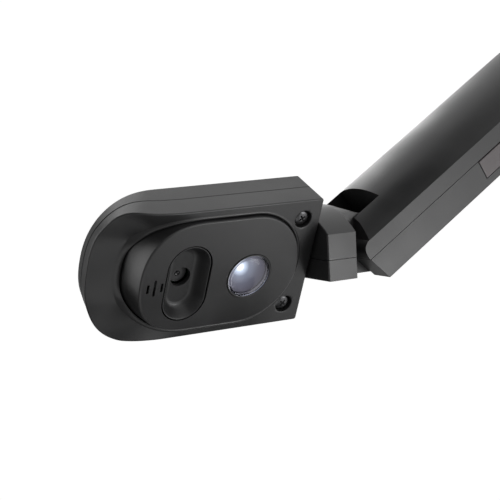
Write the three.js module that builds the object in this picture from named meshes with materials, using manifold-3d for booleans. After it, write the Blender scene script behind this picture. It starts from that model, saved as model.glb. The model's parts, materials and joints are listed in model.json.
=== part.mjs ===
// Foldable book scanner: a weighted base, a sliding two-part column, a tilting neck
// and a rolling camera head with a work light. Millimetres, +Z up. The origin is the
// middle of the rubber sole, on the desk. The base's hinge is towards +Y.
import * as THREE from 'three'
import { mergeVertices } from 'three/addons/utils/BufferGeometryUtils.js'
import Module from 'manifold-3d'

const wasm = await Module()
wasm.setup()

// ---------- driving dimensions ----------
const GAP = 0.3            // clearance between touching pieces
const THROUGH = 1          // how far a cutter runs past the face that it cuts

// camera head, in its own frame: x across, y from the square end to the free end, z to the lens side
const HEAD_WIDTH = 50
const HEAD_DEPTH = 17.2    // front face to back face
const HEAD_FRONT = 8.05    // front face, from the line through the neck's middle
const HEAD_STRAIGHT = 61   // where the sides stop being straight
const HEAD_LENGTH = 82.5
const HEAD_ROUNDNESS = 2.34 // exponent of the free end's outline: 2 is an ellipse
const HEAD_WALL = 1.7
const STEP_START = 56      // the front face falls away from here
const STEP_END = 76        // to here
const THIN_DEPTH = 10.1    // head thickness after the step
const TIP_DEPTH = 6.7      // head thickness at the tip
const SEAM_SHARE = 0.47    // the back cover's share of the thickness

// raised pad that carries the camera and the light
const PAD_HEIGHT = 2       // above the front face
const PAD_NEAR = 6.6       // its end by the neck
const PAD_FAR = 68.7       // its end by the tip
const PAD_HALF_WIDTH = 21.1
const PAD_NEAR_ROUND = 20.4
const PAD_FAR_ROUND = 22.7
const PAD_DRAFT = Math.tan(THREE.MathUtils.degToRad(6.5))
const PAD_FAR_LEAN = 2     // the far end leans this much more than the sides
const PAD_SKIRT = 11.6     // how deep its wall goes
const PAD_WALL = 1.6
const OPTIC_LINE = -2      // camera, light and microphone sit on this line, off the middle

const LIGHT_AT = 26.1
const LIGHT_RADIUS = 8.6
const WELL_AT = 50.6
const WELL_HALF_WIDTH = 8.1
const WELL_HALF_LENGTH = 14.35
const WELL_DEPTH = 5
const WELL_SLOPE = 3.7     // how far the well's wall leans in on its way down
const LENS_RADIUS = 3.35   // the barrel round the lens
const BARREL_TOP = 2.65    // its flat end, below the well's floor
const MIC_AT = 63
const MIC_SLOTS = [[60.35, 3.4], [63.05, 6.4], [65.6, 3.4]]

const HEAD_SCREW_AT = [17.4, 7]
const SCREW_HEAD_RADIUS = 2.7
const SCREW_SHANK_RADIUS = 1.3
const SCREW_RECESS_RADIUS = 3.3

// sleeve, neck and column share a loaf section: flat front, flat sides, arched back
const ARM_WIDTH = 43.2
const ARM_SIDE = 16.6      // height of the flat sides
const ARCH_RADIUS = 34.9
const ARM_SEAM = 2.2       // seam height in the section
const ARM_WALL = 2.1
const SLEEVE_LENGTH = 205  // below the neck hinge
const FORK_HALF_WIDTH = 12.05
const FORK_DEPTH = 13.1    // below the neck hinge
const EAR_REACH = 8.4      // above the neck hinge
const COLLAR_HEIGHT = 6
const COLUMN_INSET = 2.7   // the column's section inside the sleeve's
const COLUMN_BELOW = 70    // the column ends this far below the neck hinge, sleeve down

const NECK_SHOULDER = 14.1 // from the neck hinge to the block
const NECK_END = 26.4      // from the neck hinge to the block's far face
const NECK_SEAM = -0.8
const KNUCKLE_HALF_WIDTH = 11.6
const KNUCKLE_BACK = 12.6
const KNUCKLE_DROP = 12.3
const HEAD_START = 27      // from the neck hinge to the head's square end
const ROLL_AXIS_Y = 3.9    // the head turns on this line of the neck
const HEAD_FORWARD = 4     // middle of the head, in front of the roll axis
const PIN_RADIUS = 2.5
const COLLAR_RADIUS = 3.1  // the spindle's collar keeps the head on
const COLLAR_FROM = 2.3
const COLLAR_TO = 4.2
const SPINDLE_REACH = 4.9
const BUSH_RADIUS = 4.2

const TILT = THREE.MathUtils.degToRad(31.56)
const ROLL = THREE.MathUtils.degToRad(26.02)

const KEY_TOP = 51.5       // the side key starts this far below the neck hinge
const KEY_LENGTH = 12.3
const KEY_DEPTH = 7.6

// base
const BASE_WIDTH = 112
const BASE_LENGTH = 190
const BASE_THICK = 17
const BASE_FOOT = 1.3      // height of the bottom shell's underside, over the sole
const BASE_WALL = 2.4
const BASE_SEAM = 8
const BASE_BACK = BASE_LENGTH / 2
const FOLD_Y = 66          // fold hinge
const FOLD_Z = 30
const HINGE_Z = 285        // neck hinge above the desk, sleeve down
const LUG_HALF_GAP = 17.4
const LUG_THICK = 9
const BUTTON_RADIUS = 7
const FOLD_PIN_RADIUS = 3
const LUG_RADIUS = 9.5
const BASE_CORNER = 14
const BASE_STRAIGHT = -30  // the sides are straight back from here
const BASE_EDGE = 1.5
const BASE_ROUNDNESS = 2.3 // exponent of the round front

// ---------- geometry helpers ----------
function toSolid(geometry) {
  geometry.deleteAttribute('normal')
  geometry.deleteAttribute('uv')
  const merged = mergeVertices(geometry, 1e-4)
  return new wasm.Manifold(new wasm.Mesh({
    numProp: 3,
    vertProperties: merged.attributes.position.array,
    triVerts: new Uint32Array(merged.index.array),
  }))
}

function toGeometry(solid) {
  const mesh = solid.getMesh()
  const geometry = new THREE.BufferGeometry()
  geometry.setAttribute('position', new THREE.BufferAttribute(mesh.vertProperties, 3))
  geometry.setIndex(new THREE.BufferAttribute(mesh.triVerts, 1))
  const flat = geometry.toNonIndexed()
  flat.computeVertexNormals()
  return flat
}

const union = solids => solids.reduce((whole, piece) => whole.add(piece))
const cut = (solid, cutters) => cutters.reduce((rest, cutter) => rest.subtract(cutter), solid)

function prism(points, low, high) {
  const geometry = new THREE.ExtrudeGeometry(new THREE.Shape(points), {
    depth: high - low, bevelEnabled: false, steps: 1,
  })
  geometry.translate(0, 0, low)
  return toSolid(geometry)
}

// a profile drawn in y and z, running across x
const ACROSS = new THREE.Matrix4().makeBasis(
  new THREE.Vector3(0, 1, 0), new THREE.Vector3(0, 0, 1), new THREE.Vector3(1, 0, 0))

function crossPrism(points, low, high) {
  const geometry = new THREE.ExtrudeGeometry(new THREE.Shape(points), {
    depth: high - low, bevelEnabled: false, steps: 1,
  })
  geometry.translate(0, 0, low)
  geometry.applyMatrix4(ACROSS)
  return toSolid(geometry)
}

const point = (x, y) => new THREE.Vector2(x, y)

function box(low, high) {
  const size = high.map((top, i) => top - low[i])
  const geometry = new THREE.BoxGeometry(...size)
  geometry.translate(...high.map((top, i) => (top + low[i]) / 2))
  return toSolid(geometry)
}

// a round bar along x, y or z between two stations
function bar(axis, radius, low, high, [a, b], sides = 24) {
  const geometry = new THREE.CylinderGeometry(radius, radius, high - low, sides)
  if (axis === 'x') geometry.rotateZ(Math.PI / 2)
  if (axis === 'z') geometry.rotateX(Math.PI / 2)
  const middle = (low + high) / 2
  const centre = { x: [middle, a, b], y: [a, middle, b], z: [a, b, middle] }[axis]
  geometry.translate(...centre)
  return toSolid(geometry)
}

// a turned piece whose axis is z, from a list of [radius, height]
function turned(profile, [x, y], sides = 28) {
  const geometry = new THREE.LatheGeometry(profile.map(p => point(...p)), sides)
  geometry.rotateX(Math.PI / 2)
  geometry.translate(x, y, 0)
  const solid = toSolid(geometry)
  return solid
}

// joins two rings with the same number of points into a closed block
function loft(lowRing, highRing, low, high) {
  const count = lowRing.length
  const positions = []
  const push = (ring, i, z) => positions.push(ring[i % count].x, ring[i % count].y, z)
  for (const [index, face] of THREE.ShapeUtils.triangulateShape(highRing, []).entries()) {
    face.forEach(i => push(highRing, i, high))
  }
  for (const face of THREE.ShapeUtils.triangulateShape(lowRing, [])) {
    face.toReversed().forEach(i => push(lowRing, i, low))
  }
  for (let i = 0; i < count; i++) {
    push(lowRing, i, low)
    push(lowRing, i + 1, low)
    push(highRing, i + 1, high)
    push(lowRing, i, low)
    push(highRing, i + 1, high)
    push(highRing, i, high)
  }
  const geometry = new THREE.BufferGeometry()
  geometry.setAttribute('position', new THREE.Float32BufferAttribute(positions, 3))
  return toSolid(geometry)
}

// ---------- outlines ----------
function superArc(centre, along, across, power, from, to, steps) {
  const points = []
  for (let i = 0; i <= steps; i++) {
    const angle = from + (to - from) * i / steps
    const c = Math.cos(angle)
    const s = Math.sin(angle)
    points.push(point(
      centre.x + across * Math.sign(c) * Math.abs(c) ** (2 / power),
      centre.y + along * Math.sign(s) * Math.abs(s) ** (2 / power)))
  }
  return points
}

// the head in plan: square at the neck, round at the free end
function headOutline(inset) {
  const half = HEAD_WIDTH / 2 - inset
  const centre = point(0, HEAD_STRAIGHT)
  const reach = HEAD_LENGTH - HEAD_STRAIGHT - inset
  return [
    point(-half, inset),
    point(half, inset),
    ...superArc(centre, reach, half, HEAD_ROUNDNESS, 0, Math.PI, 28),
  ]
}

// the pad in plan, grown by an offset
function padOutline(grow) {
  const half = PAD_HALF_WIDTH + grow
  const far = point(0, PAD_FAR - PAD_FAR_ROUND)
  const near = point(0, PAD_NEAR + PAD_NEAR_ROUND)
  return [
    ...superArc(far, PAD_FAR_ROUND + PAD_FAR_LEAN * grow, half, 2.4, 0, Math.PI, 18),
    ...superArc(near, PAD_NEAR_ROUND + grow, half, 2, Math.PI, 2 * Math.PI, 16),
  ]
}

// a slot shape that is long across x
function stadium(halfWidth, halfLength, [x, y]) {
  const reach = halfLength - halfWidth
  const quarter = Math.PI / 2
  return [
    ...superArc(point(x + reach, y), halfWidth, halfWidth, 2, -quarter, quarter, 10),
    ...superArc(point(x - reach, y), halfWidth, halfWidth, 2, quarter, 3 * quarter, 10),
  ]
}

// the loaf section, drawn in x and y
function loafOutline(inset, steps = 12) {
  const half = ARM_WIDTH / 2 - inset
  const side = ARM_SIDE / 2
  const archCentre = side - Math.sqrt(ARCH_RADIUS ** 2 - (ARM_WIDTH / 2) ** 2)
  const radius = ARCH_RADIUS - inset
  const points = [point(-half, inset - side), point(half, inset - side)]
  const spread = Math.asin(half / radius)
  for (let i = 0; i <= steps; i++) {
    const angle = spread - 2 * spread * i / steps
    points.push(point(radius * Math.sin(angle), archCentre + radius * Math.cos(angle)))
  }
  return points
}

// ---------- the scene graph ----------
const group = new THREE.Group()
const foldFrame = new THREE.Group()    // on the fold hinge
foldFrame.position.set(0, FOLD_Y, FOLD_Z)
const armFrame = new THREE.Group()     // on the neck hinge
armFrame.position.set(0, FOLD_Y, HINGE_Z)
const neckFrame = new THREE.Group()
neckFrame.rotation.x = -TILT
const rollFrame = new THREE.Group()
rollFrame.position.set(0, ROLL_AXIS_Y, 0)
rollFrame.rotation.z = -ROLL
const faceFrame = new THREE.Group()
faceFrame.position.set(HEAD_FORWARD, 0, HEAD_START)
faceFrame.rotation.setFromRotationMatrix(ACROSS)
group.add(foldFrame, armFrame)
armFrame.add(neckFrame)
neckFrame.add(rollFrame)
rollFrame.add(faceFrame)

const finishes = {
  black_shell: { color: 0x1c1c1d, roughness: 0.42, metalness: 0 },
  grey_shell: { color: 0x2b2b2c, roughness: 0.45, metalness: 0 },
  dark_key: { color: 0x3c3536, roughness: 0.5, metalness: 0 },
  clear_lens: { color: 0xdfe6ee, roughness: 0.05, metalness: 0 },
  steel: { color: 0x9a9c9e, roughness: 0.3, metalness: 1 },
  black_steel: { color: 0x101011, roughness: 0.25, metalness: 0.8 },
  aluminium: { color: 0xa8abad, roughness: 0.35, metalness: 1 },
  rubber: { color: 0x161616, roughness: 0.85, metalness: 0 },
  board: { color: 0x1d4a33, roughness: 0.5, metalness: 0 },
  lamp: { color: 0xf4f2d8, roughness: 0.4, metalness: 0 },
  white_part: { color: 0xe4e4e0, roughness: 0.5, metalness: 0 },
}

function place(frame, name, finish, solid) {
  const mesh = new THREE.Mesh(toGeometry(solid), new THREE.MeshStandardMaterial(finishes[finish]))
  mesh.name = name
  frame.add(mesh)
}

// ---------- camera head ----------
const FRONT = HEAD_FRONT
const BACK = FRONT - HEAD_DEPTH
const PAD_TOP = FRONT + PAD_HEIGHT
const PLATE_UNDER = PAD_TOP - 1.8
const ROLL_Z = -HEAD_FORWARD           // the roll axis seen from the head's middle

function headDepthAt(y) {
  const share = THREE.MathUtils.smoothstep(y, STEP_START, STEP_END)
  const thin = y > STEP_END ? (y - STEP_END) / (HEAD_LENGTH - STEP_END) : 0
  return HEAD_DEPTH - (HEAD_DEPTH - THIN_DEPTH) * share - (THIN_DEPTH - TIP_DEPTH) * thin
}

// the space between two heights above the back face, each a function of y
function layer(lowAt, highAt) {
  const stations = [-THROUGH, STEP_START]
  for (let y = STEP_START + 1.5; y <= HEAD_LENGTH; y += 1.5) stations.push(y)
  stations.push(HEAD_LENGTH + THROUGH)
  const top = stations.map(y => point(y, BACK + highAt(y)))
  const bottom = stations.map(y => point(y, BACK + lowAt(y))).reverse()
  return crossPrism([...bottom.reverse(), ...top.reverse()], -HEAD_WIDTH, HEAD_WIDTH)
}

const padLoft = (grow, top, bottom, reach = PAD_DRAFT) => loft(
  padOutline(grow + (PAD_TOP - bottom) * reach), padOutline(grow + (PAD_TOP - top) * reach), bottom, top)

const screwSpots = [-1, 1].map(side => [side * HEAD_SCREW_AT[0], HEAD_SCREW_AT[1]])
const BOSS_TOP = -0.2
const SCREW_SEAT = FRONT - 3.4

function backCover() {
  const seam = y => SEAM_SHARE * headDepthAt(y)
  const body = prism(headOutline(0), BACK - THROUGH, FRONT).intersect(layer(() => 0, seam))
  const pocket = prism(headOutline(HEAD_WALL), BACK + HEAD_WALL, FRONT)
    .intersect(box([-HEAD_WIDTH, 0, BACK], [HEAD_WIDTH, STEP_END - 5, FRONT]))
  const shell = body.subtract(pocket)
  const bosses = screwSpots.map(spot => bar('z', 2.8, BACK + 1, SEAM_SHARE * HEAD_DEPTH + BACK, spot, 16))
  const bearing = box([-6, 1, BACK + 1], [6, SPINDLE_REACH, SEAM_SHARE * HEAD_DEPTH + BACK])
  const rests = [-8, 8].map(x => box([x - 1, 40, BACK + 1], [x + 1, 60, BACK + HEAD_WALL + 2.7]))
  const solid = union([shell, ...bosses, bearing, ...rests])
  const spindle = bar('y', PIN_RADIUS + GAP, -THROUGH, SPINDLE_REACH + THROUGH, [0, ROLL_Z])
  const collar = bar('y', COLLAR_RADIUS + GAP, COLLAR_FROM - GAP, COLLAR_TO + GAP, [0, ROLL_Z])
  const screws = screwSpots.map(([x, y]) => bar('z', SCREW_SHANK_RADIUS + GAP, -6.2, 8, [x, y], 12))
  return cut(solid, [spindle, collar, ...screws])
}

function frontShell() {
  const seam = y => SEAM_SHARE * headDepthAt(y) + GAP
  const body = prism(headOutline(0), BACK, FRONT + THROUGH).intersect(layer(seam, headDepthAt))
  const inside = prism(headOutline(HEAD_WALL), BACK, FRONT)
    .intersect(layer(() => -THROUGH, y => headDepthAt(y) - HEAD_WALL))
    .intersect(box([-HEAD_WIDTH, 0, BACK], [HEAD_WIDTH, STEP_END - 2, FRONT]))
  const cups = screwSpots.map(spot => bar('z', 4.5, SCREW_SEAT - 1.5, FRONT - 1, spot, 20))
  const trimmedCups = union(cups).intersect(prism(headOutline(0.5), BACK, FRONT))
  const shell = body.subtract(inside).add(trimmedCups)
  const padHole = padLoft(GAP + 0.1, PAD_TOP + THROUGH, BACK)
  const recesses = screwSpots.map(spot => bar('z', SCREW_RECESS_RADIUS, SCREW_SEAT, FRONT + THROUGH, spot))
  const clearances = screwSpots.map(spot => bar('z', SCREW_SHANK_RADIUS + GAP, BACK, FRONT, spot, 12))
  return cut(shell, [padHole, ...recesses, ...clearances])
}

function cameraPad() {
  const bottom = PAD_TOP - PAD_SKIRT
  const outside = padLoft(0, PAD_TOP, bottom)
  const inside = padLoft(-PAD_WALL, PLATE_UNDER, bottom - THROUGH)
  const light = bar('z', LIGHT_RADIUS + GAP, 0, PAD_TOP + THROUGH, [OPTIC_LINE, LIGHT_AT], 36)
  const well = prism(
    stadium(WELL_HALF_WIDTH + GAP, WELL_HALF_LENGTH + GAP, [OPTIC_LINE, WELL_AT]), 0, PAD_TOP + THROUGH)
  const slots = MIC_SLOTS.map(([y, length]) => box(
    [OPTIC_LINE - length / 2, y - 0.45, 0], [OPTIC_LINE + length / 2, y + 0.45, PAD_TOP + THROUGH]))
  return cut(outside, [inside, light, well, ...slots])
}

function lensWell() {
  const spot = [OPTIC_LINE, WELL_AT]
  const outside = prism(stadium(WELL_HALF_WIDTH, WELL_HALF_LENGTH, spot), PAD_TOP - WELL_DEPTH - 1.6, PAD_TOP - 0.2)
  const scoop = loft(
    stadium(WELL_HALF_WIDTH - 0.7 - WELL_SLOPE, WELL_HALF_LENGTH - 0.7 - WELL_SLOPE, spot),
    stadium(WELL_HALF_WIDTH - 0.7, WELL_HALF_LENGTH - 0.7, spot),
    PAD_TOP - WELL_DEPTH, PAD_TOP)
  const bore = bar('z', LENS_RADIUS + GAP, 0, PAD_TOP, spot)
  return cut(outside, [scoop, bore])
}

place(faceFrame, 'head_back_cover', 'black_shell', backCover())
place(faceFrame, 'head_front_shell', 'black_shell', frontShell())
place(faceFrame, 'camera_pad', 'black_shell', cameraPad())
place(faceFrame, 'lens_well', 'black_shell', lensWell())

const cameraSpot = [OPTIC_LINE, WELL_AT]
const lightSpot = [OPTIC_LINE, LIGHT_AT]
const BOARD_TOP = -3.6
place(faceFrame, 'camera_board', 'board', box([-12, 40, BOARD_TOP - 1], [10, 60.5, BOARD_TOP]))
place(faceFrame, 'camera_barrel', 'black_steel', turned([
  [0, BOARD_TOP + GAP], [LENS_RADIUS, BOARD_TOP + GAP], [LENS_RADIUS, BARREL_TOP],
  [LENS_RADIUS / 3, BARREL_TOP], [LENS_RADIUS / 3, BARREL_TOP - 0.6], [0, BARREL_TOP - 0.6],
], cameraSpot))
place(faceFrame, 'camera_lens_glass', 'clear_lens', turned([
  [0, BARREL_TOP - 0.3], [0.8, BARREL_TOP - 0.3], [0.8, BARREL_TOP], [0.5, BARREL_TOP + 0.2], [0, BARREL_TOP + 0.3],
], cameraSpot))
place(faceFrame, 'light_board', 'board', turned([[0, 1.2], [9.6, 1.2], [9.6, 2.4], [0, 2.4]], lightSpot))
place(faceFrame, 'light_emitter', 'lamp', box(
  [OPTIC_LINE - 2.6, LIGHT_AT - 2.6, 2.4 + GAP], [OPTIC_LINE + 2.6, LIGHT_AT + 2.6, 3.8]))
place(faceFrame, 'light_bezel', 'black_shell', turned([
  [LIGHT_RADIUS, 2.7], [LIGHT_RADIUS, PAD_TOP + 0.2], [LIGHT_RADIUS - 0.9, PAD_TOP + 0.2],
  [LIGHT_RADIUS - 0.9, 6.4], [LIGHT_RADIUS - 1.6, 6.4], [LIGHT_RADIUS - 1.6, 2.7], [LIGHT_RADIUS, 2.7],
], lightSpot, 36))
place(faceFrame, 'light_lens', 'clear_lens', turned([
  [0, 6.7], [7.4, 6.7], [7.4, PAD_TOP - 0.4], [6.6, PAD_TOP + 0.35], [5.2, PAD_TOP + 1.0],
  [3.4, PAD_TOP + 1.5], [1.6, PAD_TOP + 1.75], [0, PAD_TOP + 1.8],
], lightSpot, 36))
place(faceFrame, 'microphone', 'steel', bar('z', 2.6, 5.6, PLATE_UNDER - GAP, [OPTIC_LINE, MIC_AT - 1.2], 18))

function panScrew(spot, seat, length) {
  const head = turned([
    [0, seat + GAP], [SCREW_HEAD_RADIUS, seat + GAP], [SCREW_HEAD_RADIUS, seat + 1.3],
    [SCREW_HEAD_RADIUS - 0.8, seat + 2], [0, seat + 2.2],
  ], spot, 20)
  const shank = bar('z', SCREW_SHANK_RADIUS, seat + 0.5 - length, seat + 1, spot, 12)
  const slots = [[1.7, 0.35], [0.35, 1.7]].map(([x, y]) => box(
    [spot[0] - x, spot[1] - y, seat + 1.2], [spot[0] + x, spot[1] + y, seat + 3]))
  return cut(head.add(shank), slots)
}
screwSpots.forEach((spot, i) => {
  place(faceFrame, `head_screw_${i + 1}`, 'black_steel', panScrew(spot, SCREW_SEAT, 9))
})

// the spindle is fixed in the head and turns in the neck
place(rollFrame, 'roll_spindle', 'steel', union([
  bar('z', PIN_RADIUS, 15.6, HEAD_START + SPINDLE_REACH, [0, 0]),
  bar('z', COLLAR_RADIUS, HEAD_START + COLLAR_FROM, HEAD_START + COLLAR_TO, [0, 0]),
]))

// ---------- neck ----------
// side view of the neck, in y and z: the block, and the knuckle that rounds over the hinge
function neckProfile() {
  const low = -ARM_SIDE / 2
  const high = 18
  const points = [
    point(high, NECK_END), point(low, NECK_END), point(low, 0),
    ...superArc(point(0, 0), KNUCKLE_DROP, -low, 2, Math.PI, 1.5 * Math.PI, 8),
    ...superArc(point(0, 0), KNUCKLE_DROP, KNUCKLE_BACK, 2, 1.5 * Math.PI, 2 * Math.PI, 8).slice(1),
    point(KNUCKLE_BACK + 1.1, NECK_SHOULDER * 0.4),
    point(KNUCKLE_BACK + 2.5, NECK_SHOULDER * 0.8),
    point(high, NECK_SHOULDER),
  ]
  return points
}

function neckBlank() {
  const section = prism(loafOutline(0), -20, NECK_END)
  const knuckle = section.intersect(crossPrism(neckProfile(), -KNUCKLE_HALF_WIDTH, KNUCKLE_HALF_WIDTH))
  return knuckle.add(prism(loafOutline(0), NECK_SHOULDER, NECK_END))
}

const rollBush = (radius, grow) => bar('z', radius, 21 - grow, NECK_END + 0.1, [0, ROLL_AXIS_Y])
const nutSpace = grow => bar('z', 4.6 + grow, 15.2 - grow, 19.2 + grow, [0, ROLL_AXIS_Y], 6)
const neckScrewSpots = [-16, 16].map(x => [x, 20.3])
const neckScrewHole = ([x, z]) => bar('y', SCREW_SHANK_RADIUS + GAP, -12, 4.5, [x, z], 12)
const neckScrewSeat = ([x, z]) => bar('y', SCREW_RECESS_RADIUS, -12, -ARM_SIDE / 2 + 3, [x, z], 20)

function neckCutters() {
  return [
    bar('x', BUSH_RADIUS + GAP, -KNUCKLE_HALF_WIDTH - THROUGH, KNUCKLE_HALF_WIDTH + THROUGH, [0, 0]),
    rollBush(BUSH_RADIUS + GAP, GAP),
    nutSpace(GAP),
    bar('z', PIN_RADIUS + GAP, 10, NECK_END + THROUGH, [0, ROLL_AXIS_Y]),
    ...neckScrewSpots.map(neckScrewHole),
    ...neckScrewSpots.map(neckScrewSeat),
  ]
}

const WIDE = 60
place(neckFrame, 'neck_body', 'grey_shell', cut(
  neckBlank().intersect(box([-WIDE, -WIDE, -WIDE], [WIDE, NECK_SEAM - GAP / 2, WIDE])), neckCutters()))
place(neckFrame, 'neck_cover', 'grey_shell', cut(
  neckBlank().intersect(box([-WIDE, NECK_SEAM + GAP / 2, -WIDE], [WIDE, WIDE, WIDE])), neckCutters()))
place(neckFrame, 'hinge_bush', 'steel', bar('x', BUSH_RADIUS, -11.3, 11.3, [0, 0])
  .subtract(bar('x', PIN_RADIUS + GAP, -13, 13, [0, 0])))
place(neckFrame, 'roll_bush', 'steel', bar('z', BUSH_RADIUS, 21, NECK_END, [0, ROLL_AXIS_Y])
  .subtract(bar('z', PIN_RADIUS + GAP, 20, NECK_END + THROUGH, [0, ROLL_AXIS_Y])))
place(rollFrame, 'roll_nut', 'steel', turned([
  [PIN_RADIUS + GAP, 17.2], [4, 17.2], [4, 19.2], [PIN_RADIUS + GAP, 19.2], [PIN_RADIUS + GAP, 17.2],
], [0, 0], 20))

function sideScrew([x, z], seat, length) {
  const head = bar('y', SCREW_HEAD_RADIUS, seat - 1.8, seat - GAP, [x, z], 20)
  const shank = bar('y', SCREW_SHANK_RADIUS, seat - 1, seat + length, [x, z], 12)
  const slots = [[1.7, 0.35], [0.35, 1.7]].map(([a, b]) => box(
    [x - a, seat - 3, z - b], [x + a, seat - 1.1, z + b]))
  return cut(head.add(shank), slots)
}
neckScrewSpots.forEach((spot, i) => {
  place(neckFrame, `neck_screw_${i + 1}`, 'black_steel', sideScrew(spot, -ARM_SIDE / 2 + 3, 8.5))
})

// ---------- sleeve ----------
const FLAT = -ARM_SIDE / 2

// side view of the sleeve's top: rounded at the arched side, slanting back to the flat side
function sleeveProfile() {
  return [
    point(FLAT - THROUGH, -SLEEVE_LENGTH),
    point(20, -SLEEVE_LENGTH),
    point(20, -2),
    point(13, 1.2),
    point(ARM_SIDE / 2, 4.5),
    point(7.9, 6.3),
    point(6.6, 7.8),
    point(4.8, EAR_REACH),
    point(3, EAR_REACH),
    point(FLAT, 4.9),
    point(FLAT - THROUGH, 4.9),
  ]
}

const washerSpace = side => bar('x', 5.3, side > 0 ? 11 : -13.9, side > 0 ? 13.9 : -11, [0, 0])
const keyPlan = grow => box(
  [ARM_WIDTH / 2 - 6, ARM_SEAM - KEY_DEPTH - grow, -KEY_TOP - KEY_LENGTH - grow],
  [ARM_WIDTH / 2 + THROUGH, ARM_SEAM - GAP + grow, -KEY_TOP + grow])
const sleeveScrewSpots = [-14, 14].map(x => [x, -24])

function sleeveBlank() {
  const outside = prism(loafOutline(0), -SLEEVE_LENGTH, EAR_REACH + THROUGH)
    .intersect(crossPrism(sleeveProfile(), -WIDE, WIDE))
  const cavity = prism(loafOutline(ARM_WALL), -SLEEVE_LENGTH - THROUGH, -FORK_DEPTH - 3)
  const posts = sleeveScrewSpots.map(([x, z]) => bar('y', 3.4, FLAT + 1, ARM_SIDE / 2 + 2, [x, z], 16))
  const fork = box([-FORK_HALF_WIDTH, -WIDE, -FORK_DEPTH], [FORK_HALF_WIDTH, WIDE, WIDE])
  const pin = bar('x', PIN_RADIUS + GAP, -19.3, 19.3, [0, 0])
  const collar = prism(loafOutline(1.2), -SLEEVE_LENGTH - THROUGH, -SLEEVE_LENGTH + COLLAR_HEIGHT + GAP)
  const seats = sleeveScrewSpots.map(([x, z]) => bar('y', SCREW_RECESS_RADIUS, -20, FLAT + 2.6, [x, z], 20))
  const holes = sleeveScrewSpots.map(([x, z]) => bar('y', SCREW_SHANK_RADIUS + GAP, -20, 6.5, [x, z], 12))
  return cut(cut(outside, [cavity]).add(union(posts)), [
    fork, pin, collar, keyPlan(GAP), washerSpace(1), washerSpace(-1), ...seats, ...holes,
  ])
}

const below = y => box([-WIDE, -WIDE, -400], [WIDE, y, WIDE])
const above = y => box([-WIDE, y, -400], [WIDE, WIDE, WIDE])
place(armFrame, 'sleeve_front_shell', 'grey_shell', sleeveBlank().intersect(below(ARM_SEAM - GAP / 2)))
place(armFrame, 'sleeve_rear_shell', 'black_shell', sleeveBlank().intersect(above(ARM_SEAM + GAP / 2)))
place(armFrame, 'sleeve_collar', 'black_shell',
  prism(loafOutline(1.5), -SLEEVE_LENGTH, -SLEEVE_LENGTH + COLLAR_HEIGHT)
    .subtract(prism(loafOutline(COLUMN_INSET - GAP), -SLEEVE_LENGTH - THROUGH, 0)))
sleeveScrewSpots.forEach((spot, i) => {
  place(armFrame, `sleeve_screw_${i + 1}`, 'black_steel', sideScrew(spot, FLAT + 2.6, 11))
})
place(armFrame, 'neck_pin', 'steel', bar('x', PIN_RADIUS, -19, 19, [0, 0]))
for (const [name, side] of [['left', -1], ['right', 1]]) {
  const stations = [12.35, 13.5].map(x => side * x).sort((a, b) => a - b)
  place(armFrame, `friction_washer_${name}`, 'steel', bar('x', 5, ...stations, [0, 0])
    .subtract(bar('x', PIN_RADIUS + GAP, -20, 20, [0, 0])))
}

// the side key is a flush cap with one round corner, on a stem
function sideKey() {
  const low = ARM_SEAM - KEY_DEPTH
  const high = ARM_SEAM - GAP
  const round = 3
  const bottom = -KEY_TOP - KEY_LENGTH
  const plan = [
    point(high, -KEY_TOP), point(low, -KEY_TOP), point(low, bottom + round),
    ...superArc(point(low + round, bottom + round), round, round, 2, Math.PI, 1.5 * Math.PI, 5).slice(1),
    point(high, bottom),
  ]
  const cap = crossPrism(plan, ARM_WIDTH / 2 - 2.4, ARM_WIDTH / 2 + 0.2)
  const stem = bar('x', 1.6, ARM_WIDTH / 2 - 5.6, ARM_WIDTH / 2 - 2, [(low + high) / 2, -KEY_TOP - KEY_LENGTH / 2], 12)
  return cap.add(stem)
}
place(armFrame, 'side_key', 'dark_key', sideKey())
place(armFrame, 'key_board', 'board', box(
  [ARM_WIDTH / 2 - 8.2, -5, -KEY_TOP - KEY_LENGTH], [ARM_WIDTH / 2 - 7, 5, -KEY_TOP]))

// ---------- column ----------
const columnTop = HINGE_Z - COLUMN_BELOW - FOLD_Z
place(foldFrame, 'column_tube', 'aluminium', prism(loafOutline(COLUMN_INSET), 14, columnTop)
  .subtract(prism(loafOutline(COLUMN_INSET + 1.8), 0, columnTop + THROUGH)))
place(foldFrame, 'column_cap', 'white_part', prism(loafOutline(ARM_WALL + GAP), columnTop + GAP, columnTop + 5)
  .add(prism(loafOutline(COLUMN_INSET + 2.1), columnTop - 12, columnTop + 1)))
place(foldFrame, 'column_foot', 'black_shell', union([
  bar('x', -FLAT, -LUG_HALF_GAP + GAP, LUG_HALF_GAP - GAP, [0, 0], 36),
  prism(loafOutline(COLUMN_INSET), LUG_RADIUS + 0.7, 14 - GAP),
  prism(loafOutline(COLUMN_INSET).map(p => point(p.x, Math.min(p.y, -FLAT))), 0, 12)
    .intersect(box([-LUG_HALF_GAP + GAP, -WIDE, -WIDE], [LUG_HALF_GAP - GAP, WIDE, WIDE])),
  prism(loafOutline(COLUMN_INSET + 2.1), 12, 34),
]).subtract(bar('x', FOLD_PIN_RADIUS + GAP, -WIDE, WIDE, [0, 0])))
place(foldFrame, 'fold_pin', 'steel', bar('x', FOLD_PIN_RADIUS, -24, 24, [0, 0]))

// ---------- base ----------
const BASE_TOP = BASE_FOOT + BASE_THICK

function baseOutline(inset) {
  const half = BASE_WIDTH / 2 - inset
  const back = BASE_BACK - inset
  const corner = Math.max(BASE_CORNER - inset, 1)
  const turn = (x, from) => superArc(point(x, back - corner), corner, corner, 2, from, from + Math.PI / 2, 6)
  return [
    ...turn(half - corner, 0),
    ...turn(corner - half, Math.PI / 2),
    ...superArc(point(0, BASE_STRAIGHT), BASE_BACK + BASE_STRAIGHT - inset, half, BASE_ROUNDNESS,
      Math.PI, 2 * Math.PI, 28),
  ]
}

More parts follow.
